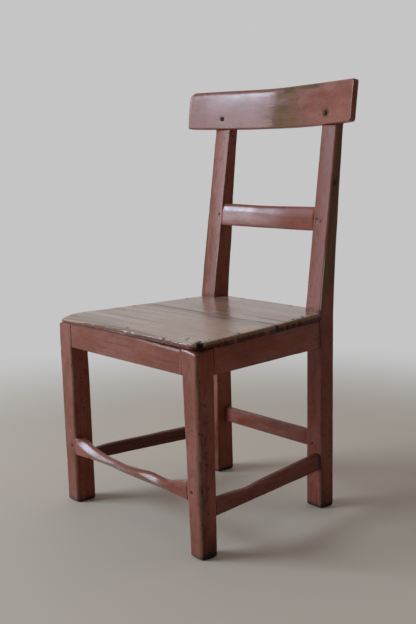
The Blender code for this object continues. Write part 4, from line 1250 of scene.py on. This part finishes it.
class ChairSideStretchers(Operator):
    """Build the side stretchers, the right one worn hollow by feet, and the rear stretcher"""

    bl_idname = "chair.side_stretchers"
    bl_label = "Side and Rear Stretchers"

    def execute(self, context):
        wear = context.scene.chair_wear
        for side in (LEFT, RIGHT):
            self.along(side, wear)
        self.across(wear)
        return {"FINISHED"}

    def along(self, side, wear):
        """A side stretcher, from the leg to the post, darker at the post."""
        name = f"side_stretcher_{SIDE_NAMES[side]}"
        leg_low, post_low = SIDE_STRETCHER_BOTTOMS[side]
        share, inset = stations(0.0, 1.0, 0.016, 0.0008, 0.0008)
        front = leg_back(side, 0.10) + GAP
        y = front + share * (FRAME_DEPTH - GAP - front)
        bottom = leg_low + share * (post_low - leg_low)
        top = worn_line(y, SIDE_STRETCHER_TOPS[side], 0.024)
        outer, inner = SIDE_STRETCHER_INSET, SIDE_STRETCHER_INSET + SIDE_STRETCHER_THICKNESS
        corners = np.zeros((len(share), 4, 3))
        rows = ((outer, bottom), (inner, bottom), (inner, top), (outer, top))
        for k, (in_from_face, z) in enumerate(rows):
            corners[:, k] = np.stack([side * (frame_half_width(y) - in_from_face), y, z], -1)
        radii = worn_radii(y, 40 + side, (0.9, 0.9, 2.3, 2.3), 0.5)
        inset = inset * (FRAME_DEPTH - LEG_DEPTH)
        bar = Timber(corners, radii, inset, (5, 7, 5, 7), arc=6, seed=40 + side)
        bar.roughen(wear.unevenness * 1.3)
        bar.wear *= 0.3
        at_post = smooth((bar.points[..., 1] - FRAME_DEPTH + 0.012) / 0.012)
        # Both are darkened all over, dirt and painted shade under the seat, the left one most; darker still
        # near the post.
        bar.grime_and_shade = (0.54 if side == LEFT else 0.40) + 0.5 * at_post
        if side == RIGHT:
            bar.dent((0.212, 0.190, 0.100), 0.003, 0.0008, 0.0)
        dress(bar.object(name), old_red_paint(), "painted_wood", name)

    def across(self, wear):
        """The rear stretcher, between the posts."""
        low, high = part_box("rear_stretcher")
        half = POST_INNER - GAP
        x, inset = stations(-half, half, 0.007)
        corners = upright(x, low.y - FRONT, high.y - FRONT, low.z, high.z)
        radii = worn_radii(x, 45, (0.8, 0.7, 0.9, 0.9), 0.5)
        bar = Timber(corners, radii, inset, (4, 7, 4, 7), seed=45).roughen(wear.unevenness * 1.2)
        obj = bar.object("rear_stretcher")
        dress(obj, old_red_paint(), "painted_wood", "rear_stretcher", rubbed=rubbed_red_paint())


def on_slope(corners, y, z):
    """Turns sections that were drawn upright at y = 0, z = 0 on to the slope of the posts."""
    turned = corners.copy()
    turned[..., 1] = y + corners[..., 1] * cos(POST_RAKE) + corners[..., 2] * sin(POST_RAKE)
    turned[..., 2] = z - corners[..., 1] * sin(POST_RAKE) + corners[..., 2] * cos(POST_RAKE)
    return turned


class ChairBackRails(Operator):
    """Build the mid rail and the bowed crest rail, rubbed bare in its middle"""

    bl_idname = "chair.back_rails"
    bl_label = "Back Rails"

    def execute(self, context):
        wear = context.scene.chair_wear
        self.mid_rail(wear)
        self.crest_rail(wear)
        return {"FINISHED"}

    def mid_rail(self, wear):
        """The lower back rail, polished on its left half and left dull on its right half."""
        half = POST_INNER - GAP
        x, inset = stations(-half, half, 0.006, 0.0008, 0.0002)
        front = bow(x, MID_RAIL_BOW) - bow(POST_INNER, MID_RAIL_BOW)
        sag = 0.0016 * smooth(1 - np.abs(x) / half)
        corners = upright(x, front, front + MID_RAIL_THICKNESS, 0.0, MID_RAIL_HEIGHT - sag)
        radii = worn_radii(x, 51, (1.0, 0.6, 0.7, 2.0), 0.25)
        rail = Timber(corners, radii, inset, (5, 9, 5, 20), arc=6, seed=51)
        self.cushion(rail, front, MID_RAIL_HEIGHT, 0.0050, 0.0018, 1.5)
        rail.points = on_slope(rail.points, post_front(MID_RAIL_BOTTOM), MID_RAIL_BOTTOM)
        rail.roughen(wear.unevenness)
        rail.wear *= 0.25
        x_grid = rail.points[..., 0]
        low = smooth((MID_RAIL_BOTTOM + 0.007 - rail.points[..., 2]) / 0.006)
        rail.bare = 0.7 * low * smooth(1 - np.abs(x_grid) / 0.12) - 0.9 * smooth((x_grid + 0.03) / 0.12)
        dress(rail.object("mid_rail"), polished_red_paint(), "painted_wood", "mid_rail")

    def crest_rail(self, wear):
        """The bowed top rail, let into the posts, its corners rounded and its upper front rolled back."""
        x, inset = stations(-CREST_HALF, CREST_HALF, 0.0036, 0.004, 0.004)
        front = bow(x, CREST_BOW) - bow((POST_INNER + REAR_HALF) / 2, CREST_BOW) - CREST_PROUD
        rise = CREST_ARCH * (1 - np.abs(x / CREST_HALF) ** np.where(x < 0, 7, 3))
        from_end = CREST_HALF - np.abs(x)
        top_drop = rounded(from_end, np.where(x < 0, 0.012, 0.008))
        low_lift = rounded(from_end, np.where(x < 0, 0.004, 0.009))
        corners = upright(x, front, front + CREST_THICKNESS, low_lift, CREST_HEIGHT + rise - top_drop)
        radii = worn_radii(x, 55, (0.9, 0.8, 0.8, 1.3), 0.3)
        radii[:, 3] += 0.0040 * smooth((0.08 - x) / 0.12)
        crest = Timber(corners, radii, inset, (5, 13, 5, 26), arc=7, seed=55)
        self.cushion(crest, front, CREST_HEIGHT, 0.0010, 0.0012)
        self.roll_top(crest, front, CREST_HEIGHT + rise, 0.0026)
        ripple = fractal(crest.points * (1, 0, 0.25), 0.038, 57)
        crest.points[..., 1] += 0.0005 * ripple * crest.near_front(front[:, None], 0.010)
        on_front = crest.near_front(front[:, None], 0.012)
        crest.points = on_slope(crest.points, post_front(CREST_BOTTOM), CREST_BOTTOM)
        crest.roughen(wear.unevenness)
        crest.wear *= 0.45
        self.rub_bare(crest, on_front)
        for side in (LEFT, RIGHT):
            self.sink_nail(crest, side)
        obj = crest.object("crest_rail")
        dress(obj, old_red_paint(), "painted_wood", "crest_rail", rubbed=rubbed_red_paint())

    def rub_bare(self, crest, on_front):
        """Rubs the paint off the middle and the top edge, but for one patch that kept it."""
        x, _, z = np.moveaxis(crest.points, -1, 0)
        mottled = fractal(crest.points * (1, 0, 0.6), 0.030, 58)
        middle = hump(x, 0.034, 0.080) * (1 + 0.35 * mottled)
        along_top = smooth((z - 0.878) / 0.012) * smooth((x + 0.04) / 0.06) * smooth((0.20 - x) / 0.08)
        kept = hump(x, 0.078, 0.016) * hump(z, 0.868, 0.013)
        crest.bare = np.maximum(0.70 * middle * on_front, 0.62 * along_top) - 0.5 * kept

    def sink_nail(self, crest, side):
        """Sinks the rail round its nail, with a bare ring round the right one."""
        low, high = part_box(f"crest_nail_{SIDE_NAMES[side]}")
        place = ((low.x + high.x) / 2, low.y - FRONT + 0.003, (low.z + high.z) / 2)
        crest.dent(place, 0.007, 0.0004, 0.75 if side == LEFT else 0.35)
        if side == RIGHT:
            away = np.linalg.norm(crest.points - place, axis=-1)
            crest.bare += 1.2 * hump(away, 0.0080, 0.0036)

    def roll_top(self, timber, front, height, depth):
        """Rolls the upper front of the left half back, where hands have pulled on it."""
        below = height[:, None] - timber.points[..., 2]
        in_front = timber.near_front(front[:, None], 0.010)
        to_left = smooth((0.07 - timber.points[..., 0]) / 0.10)
        timber.points[..., 1] += depth * np.clip(1 - below / 0.017, 0, 1) ** 2 * in_front * to_left

    def cushion(self, timber, front, height, depth_above, depth_below, power=2.0):
        """Eases the front face back towards its top and bottom, so that it swells in the middle."""
        off_middle = (timber.points[..., 2] - height / 2) / (height / 2)
        in_front = timber.near_front(front[:, None], 0.010)
        depth = np.where(off_middle > 0, depth_above, depth_below)
        timber.points[..., 1] += depth * np.abs(off_middle) ** power * in_front


class ChairSeatBoards(Operator):
    """Build the two seat boards, with their open joint, split, chips and sunk nail heads"""

    bl_idname = "chair.seat_boards"
    bl_label = "Seat Boards"

    def execute(self, context):
        edges = bare_seat_wood("dull_seat_wood", 0.15, 0.0, 0.0)
        gap = context.scene.chair_wear.seat_joint
        boards = {
            "seat_board_front": (self.front(gap, 61), bare_seat_wood("rubbed_seat_wood", 0.9, 0.04, 0.05)),
            # The rear board is reddened: partly red paint soaked in, partly a painted reflection of the red
            # left post.
            "seat_board_rear": (self.rear(gap, 63), bare_seat_wood("polished_seat_wood", 1.15, 0.12, 0.55)),
        }
        for name, (board, top) in boards.items():
            obj = board.object(name)
            cut(obj, self.nail_pits(name))
            dress(obj, edges, "bare_wood", name, rubbed=top, rubbed_side=(0, 0, 1))
        return {"FINISHED"}

    def half_width(self, y):
        """Half the width of the seat, with its front corners rounded."""
        return frame_half_width(y) + SEAT_OVERHANG - rounded(y - SEAT_FRONT, SEAT_CORNER)

    def left_corner(self, y):
        """How much further the left corner is rounded off than the right one."""
        return rounded(y - SEAT_FRONT, SEAT_LEFT_CORNER) - rounded(y - SEAT_FRONT, SEAT_CORNER)

    def board(self, y, inset, half, radii, seed):
        """A flat board with its grain running from side to side."""
        corners = np.zeros((len(y), 4, 3))
        for k, (end, is_top) in enumerate(((LEFT, 0), (RIGHT, 0), (RIGHT, 1), (LEFT, 1))):
            z = seat_top(y) if is_top else seat_underside(y)
            corners[:, k] = np.stack([end * half, y, z], -1)
        made = Timber(corners, radii, inset, (110, 4, 110, 4), arc=5, seed=seed)
        made.grain = made.points + (seed, 0.3 * seed, 0.0)
        return made

    def joint(self, x):
        """Where the boards meet, along the width."""
        wander = 0.0022 * fractal(along_line(x), 0.05, 71)
        return SEAT_JOINT - 0.003 + wander + 0.008 * smooth((x - 0.09) / 0.08)

    def gape(self, x):
        """How far the joint stands open, as a share: widest past the middle, tight at the right end."""
        return 0.45 + 0.55 * smooth(1 - np.abs(x - 0.02) / 0.13) - 0.3 * smooth((x - 0.12) / 0.04)

    def wear_top(self, made, seed):
        """Hollows the top, rolls its edges over, chews its right edge and tells where the top is."""
        x, y, z = (axis.copy() for axis in np.moveaxis(made.points, -1, 0))
        lift = (z - seat_underside(y)) / (seat_top(y) - seat_underside(y))
        on_top = smooth((lift - 0.5) / 0.4)
        hollow = fractal(made.points * (1, 1, 0), 0.11, seed) - 0.5
        made.points[..., 2] += on_top * (0.0007 * hollow - 0.0002)
        edge = np.abs(x) - self.half_width(np.clip(y, SEAT_FRONT, FRAME_DEPTH))
        from_edge = np.minimum(-edge, y - SEAT_FRONT)
        at_corner = smooth((-0.06 - x) / 0.15) * smooth(1 - y / 0.060)
        roll_over = np.clip(1 - from_edge / (0.014 + 0.018 * at_corner), 0, 1) ** 2
        made.points[..., 2] -= lift * roll_over * (0.0012 + 0.0068 * at_corner)
        made.points[..., 0] += self.left_corner(y) * smooth((-0.14 - x) / 0.07)
        chewed = fractal(along_line(y, z * 0.25), 0.0075, seed + 5)
        nick = 0.0032 * smooth((chewed - 0.02) / 0.5) * smooth((edge + 0.007) / 0.006) * (x > 0)
        made.points[..., 0] -= nick
        made.points[..., 2] -= 0.5 * nick * on_top
        made.wear = np.maximum(made.wear, smooth((edge + 0.0055) / 0.0045) * 0.9)
        low_side = smooth((edge + 0.004) / 0.003) * smooth((seat_top(y) - z - 0.0025) / 0.003) * (x > 0)
        strokes = fractal(along_line(y, z * 0.1), 0.004, seed + 8, 2)
        made.soil_and_shade(low_side * (0.50 + 0.34 * strokes))
        made.bare = np.maximum(made.bare, 0.70 * low_side)
        made.wear *= 1 - 0.5 * low_side
        red_corner = smooth((edge + 0.0040) / 0.003) * smooth((0.060 - y) / 0.02) * (x < 0)
        made.bare = np.maximum(made.bare, red_corner * (1 - 0.2 * on_top))
        made.wear *= 1 - red_corner
        return on_top

    def front(self, gap, seed):
        """The front board, with a ragged red front edge, a broken corner and a short split."""
        y, inset = stations(SEAT_FRONT, SEAT_JOINT, 0.0035, 0.0034, 0.0016)
        radii = worn_radii(y, seed, (0.8, 0.5, 1.0, 1.5), 0.5)
        made = self.board(y, inset, self.half_width(y), radii, seed)
        on_top = self.wear_top(made, seed)
        x, y_grid, _ = np.moveaxis(made.points, -1, 0)
        reach = (y_grid - SEAT_FRONT) / (SEAT_JOINT - SEAT_FRONT)
        made.points[..., 1] = SEAT_FRONT + reach * (self.joint(x) - gap * self.gape(x) - SEAT_FRONT)
        self.break_edge(made)
        at_joint = smooth(1 - (SEAT_JOINT - y_grid) / 0.0016)
        made.soil_and_shade(0.9 * at_joint * (1 - on_top * 0.2))
        front_face = smooth((SEAT_FRONT + 0.0035 - y_grid) / 0.003)
        made.bare = np.maximum(made.bare, front_face * (1 - 0.2 * on_top))
        made.wear *= 1 - front_face
        behind_edge = y_grid - SEAT_FRONT
        ochre = on_top * smooth((behind_edge - 0.003) / 0.003) * smooth(1 - (behind_edge - 0.006) / 0.014)
        made.wear = np.maximum(made.wear, (0.62 - 0.22 * smooth((x - 0.02) / 0.1)) * ochre)
        self.split(made, on_top)
        return made

    def break_edge(self, made):
        """Breaks the front edge: ragged all along, one chip, and the right corner gone."""
        x, y, _ = np.moveaxis(made.points, -1, 0)
        at_front = smooth(1 - (y - SEAT_FRONT) / 0.014)
        ragged = 0.0012 * smooth((fractal(along_line(x), 0.030, made.seed + 9) - 0.1) / 0.5)
        chip = 0.005 * hump(x, 0.1425, 0.0025)
        made.points[..., 1] += at_front * (ragged + chip)
        # Painted shade: the chip is darkened as a hole that shade falls into.
        made.soil_and_shade(at_front * smooth((chip - 0.001) / 0.003))
        broken = np.exp(-((np.hypot(x - 0.2325, y - 0.010) / 0.0062) ** 4))
        made.points[..., 0] -= 0.0100 * broken
        made.points[..., 1] += 0.0040 * broken
        # Painted shade: the broken corner is darkened black as a hollow in shade.
        made.soil_and_shade(1.6 * smooth((broken - 0.15) / 0.3))

    def split(self, made, on_top):
        """Opens a short split that runs in slantwise from the right end of the front edge."""
        along, back = made.points[..., 0] - 0.1855, made.points[..., 1] - 0.019
        past_end = np.maximum(0, np.hypot(along, back) - 0.013)
        away = np.abs(along * 0.8 + back * 0.6) + 10 * past_end
        made.points[..., 2] -= on_top * 0.0016 * hump(away, 0, 0.0014)
        made.soil_and_shade(on_top * hump(away, 0, 0.0018))

    def rear(self, gap, seed):
        """The rear board, notched round the posts, with a crack that opens to the right."""
        back = SEAT_BACK - 0.0005
        notch = POST_FRONT_AT_SEAT - GAP
        at_notch = (notch - 0.0015, notch, notch + 0.00001)
        at_crack = SEAT_CRACK + np.array([-0.0012, -0.0006, 0, 0.0006, 0.0012])
        y, inset = stations(SEAT_JOINT, back, 0.0035, 0.0016, 0.0035, (*at_notch, *at_crack))
        half = np.where(y > notch, POST_INNER - 0.0004, self.half_width(y))
        radii = worn_radii(y, seed, (0.8, 0.5, 1.0, 1.5), 0.5)
        radii[y > notch - 0.001] = 0.0012
        made = self.board(y, inset, half, radii, seed)
        to_post = smooth((-0.10 - made.points[..., 0]) / 0.04) * (y > notch)[:, None]
        made.points[..., 0] -= LEFT_POST_SHIFT * to_post
        on_top = self.wear_top(made, seed)
        x, y_grid, _ = np.moveaxis(made.points, -1, 0)
        reach = np.clip((back - y_grid) / (back - SEAT_JOINT), 0, 1)
        shift = (self.joint(x) + gap * self.gape(x) - SEAT_JOINT) * smooth((reach - 0.55) / 0.45)
        bend = 0.0025 * fractal(along_line(x), 0.04, 75) * hump(y_grid, SEAT_CRACK, 0.012)
        made.points[..., 1] += shift + bend
        cracked = smooth((x - 0.06) / 0.12) * hump(y_grid, SEAT_CRACK, 0.0009)
        made.points[..., 2] -= on_top * 0.0018 * cracked
        made.soil_and_shade(0.9 * cracked)
        at_joint = smooth(1 - (y_grid - SEAT_JOINT) / 0.0016)
        made.soil_and_shade(0.9 * at_joint * (1 - on_top * 0.2))
        return made

    def nail_pits(self, board):
        """A ragged pit over each sunk nail head of this board."""
        pits = []
        for node in sorted(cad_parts):
            if not node.startswith("seat_nail"):
                continue
            low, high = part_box(node)
            x, y = (low.x + high.x) / 2, (low.y + high.y) / 2 - FRONT
            if (y < SEAT_JOINT) == (board == "seat_board_front"):
                pits.append(pit_cutter(node + "_pit", (x, y, seat_top(y)), *NAIL_PIT, len(pits)))
        return pits


class ChairFasteners(Operator):
    """Finish the nails and pegs that the CAD model gives"""

    bl_idname = "chair.fasteners"
    bl_label = "Nails and Pegs"

    def execute(self, context):
        iron = old_iron()
        # The pegs are darkened: dirt, and painted shade of the holes that they sit in.
        painted = old_red_paint("red_paint_on_pegs_with_painted_shade", on_cad=(0.25, 0.62, 0.0))
        # The left mid-rail peg is coloured as pale bare wood, a painted highlight for the glint on its proud
        # end.
        rubbed = old_red_paint("rubbed_paint_on_peg", on_cad=(1.2, 0.0, 1.0), polish=0.6)
        found = 0
        for name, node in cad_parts.items():
            if "_nail_" in name or "_peg_" in name:
                node.data.materials.clear()
                finish = rubbed if name == "mid_rail_peg_left" else painted
                node.data.materials.append(iron if "_nail_" in name else finish)
                found += 1
        if not found:
            raise RuntimeError("the frame has no nails or pegs")
        return {"FINISHED"}


def seen_directly(tree):
    """1 where the camera, a reflection or a see-through surface looks at the stage, and 0 for soft light."""
    rays = tree.nodes.new("ShaderNodeLightPath")
    total = rays.outputs["Is Camera Ray"]
    for name in ("Is Glossy Ray", "Is Transmission Ray"):
        added = tree.nodes.new("ShaderNodeMath")
        added.operation = "MAXIMUM"
        tree.links.new(total, added.inputs[0])
        tree.links.new(rays.outputs[name], added.inputs[1])
        total = added.outputs[0]
    return total


class ChairStageSet(Operator):
    """Set the plain floor, the soft light and the camera"""

    bl_idname = "chair.stage"
    bl_label = "Stage"

    def execute(self, context):
        stage = context.scene.chair_stage
        self.floor(stage)
        self.world(context, stage)
        self.lamp("key_light", stage.key, *KEY_LIGHT)
        self.lamp("upper_light", stage.upper, *UPPER_LIGHT)
        self.camera(context, stage)
        context.scene.view_settings.view_transform = "Standard"
        return {"FINISHED"}

    def floor(self, stage):
        """A plain floor that passes into the backdrop away from the chair."""
        cells = 8
        row = cells + 1
        steps = np.linspace(-FLOOR_REACH, FLOOR_REACH, row)
        corners = [i * row + j for i in range(cells) for j in range(cells)]
        mesh = bpy.data.meshes.new("floor")
        mesh.from_pydata(
            [(x, y, 0.0) for x in steps for y in steps],
            [],
            [(k, k + row, k + row + 1, k + 1) for k in corners],
        )
        m = Finish("plain_floor")
        place = m.node("ShaderNodeTexCoord").outputs["Object"]
        away = m.node("ShaderNodeVectorMath", {"operation": "LENGTH"})
        m.join(place, away.inputs[0])
        far = m.maths("MULTIPLY", m.ramp(away.outputs["Value"], 0.75, 1.9), seen_directly(m.tree))
        m.shader.inputs["Base Color"].default_value = solid(stage.floor)
        m.shader.inputs["Roughness"].default_value = 0.7
        glow = m.node("ShaderNodeEmission", Color=solid(stage.backdrop), Strength=1.0)
        mixed = m.node("ShaderNodeMixShader", Fac=far)
        m.tree.links.new(m.shader.outputs[0], mixed.inputs[1])
        m.tree.links.new(glow.outputs[0], mixed.inputs[2])
        m.tree.links.new(mixed.outputs[0], m.tree.nodes["Material Output"].inputs["Surface"])
        mesh.materials.append(m.material)
        obj = link("floor", mesh)

    def world(self, context, stage):
        """Soft light, strongest from above and behind, with an even backdrop for the camera."""
        world = context.scene.world or bpy.data.worlds.new("soft_room")
        context.scene.world = world
        world.use_nodes = True
        tree = world.node_tree
        tree.nodes.clear()
        place = tree.nodes.new("ShaderNodeTexCoord")
        towards = tree.nodes.new("ShaderNodeVectorMath")
        towards.operation = "DOT_PRODUCT"
        towards.inputs[1].default_value = FILL_SIDE.normalized()
        tree.links.new(place.outputs["Generated"], towards.inputs[0])
        soft = tree.nodes.new("ShaderNodeMapRange")
        soft.interpolation_type = "SMOOTHSTEP"
        limits = {"From Min": -0.30, "From Max": 0.75, "To Min": 0.02, "To Max": stage.fill}
        for key, number in limits.items():
            soft.inputs[key].default_value = number
        tree.links.new(towards.outputs["Value"], soft.inputs["Value"])
        fill = tree.nodes.new("ShaderNodeBackground")
        fill.inputs["Color"].default_value = solid(FILL_COLOUR)
        tree.links.new(soft.outputs["Result"], fill.inputs["Strength"])
        backdrop = tree.nodes.new("ShaderNodeBackground")
        backdrop.inputs["Color"].default_value = solid(stage.backdrop)
        mixed = tree.nodes.new("ShaderNodeMixShader")
        tree.links.new(seen_directly(tree), mixed.inputs[0])
        tree.links.new(fill.outputs[0], mixed.inputs[1])
        tree.links.new(backdrop.outputs[0], mixed.inputs[2])
        output = tree.nodes.new("ShaderNodeOutputWorld")
        tree.links.new(mixed.outputs[0], output.inputs["Surface"])

    def lamp(self, name, power, place, size, colour):
        """A soft light, a little cool, aimed at the middle of the chair."""
        light = bpy.data.lights.new(name, "AREA")
        light.shape = "RECTANGLE"
        light.size, light.size_y = size
        light.energy = power
        light.color = colour
        obj = link(name, light)
        obj.location = place
        obj.rotation_euler = (LIGHT_AIM - Vector(place)).to_track_quat("-Z", "Y").to_euler()

    def camera(self, context, stage):
        """The camera, at the photograph's place and angle."""
        ahead = Vector((-sin(CAMERA_YAW), cos(CAMERA_YAW), 0.0)) * cos(CAMERA_PITCH)
        ahead.z = -sin(CAMERA_PITCH)
        level = Vector((cos(CAMERA_YAW), sin(CAMERA_YAW), 0.0))
        up = level.cross(ahead)
        right = level * cos(CAMERA_ROLL) + up * sin(CAMERA_ROLL)
        above = up * cos(CAMERA_ROLL) - level * sin(CAMERA_ROLL)
        turn = Matrix((right, above, -ahead)).transposed().to_4x4()
        camera = bpy.data.cameras.new("camera")
        camera.lens = stage.lens
        camera.sensor_width = 36.0
        obj = link("camera", camera)
        obj.matrix_world = Matrix.Translation(CAMERA_PLACE) @ turn
        context.scene.camera = obj


class ChairPanel(Panel):
    """Lists the pieces of the chair and their settings"""

    bl_idname = "VIEW3D_PT_carpenters_chair"
    bl_label = "Carpenters Chair"
    bl_space_type = "VIEW_3D"
    bl_region_type = "UI"
    bl_category = "Chair"

    def draw(self, context):
        for key in GROUPS:
            group = getattr(context.scene, key)
            column = self.layout.column(align=True)
            for name in group.__annotations__:
                column.prop(group, name)
        column = self.layout.column(align=True)
        for operator in OPERATORS:
            column.operator(operator.bl_idname)


GROUPS = {
    "chair_wear": ChairWear,
    "chair_paint": ChairPaint,
    "chair_seat": ChairSeat,
    "chair_stage": ChairStage,
}
OPERATORS = (
    ChairFrontLegs,
    ChairRearPosts,
    ChairSeatRails,
    ChairFrontStretcher,
    ChairSideStretchers,
    ChairBackRails,
    ChairSeatBoards,
    ChairFasteners,
    ChairStageSet,
)


def register():
    for cls in (*GROUPS.values(), *OPERATORS, ChairPanel):
        bpy.utils.register_class(cls)
    for key, group in GROUPS.items():
        setattr(bpy.types.Scene, key, PointerProperty(type=group))


def unregister():
    for key in GROUPS:
        delattr(bpy.types.Scene, key)
    for cls in reversed((*GROUPS.values(), *OPERATORS, ChairPanel)):
        bpy.utils.unregister_class(cls)


def main():
    register()
    for operator in OPERATORS:
        space, name = operator.bl_idname.split(".")
        getattr(getattr(bpy.ops, space), name)()


if __name__ == "__main__":
    main()
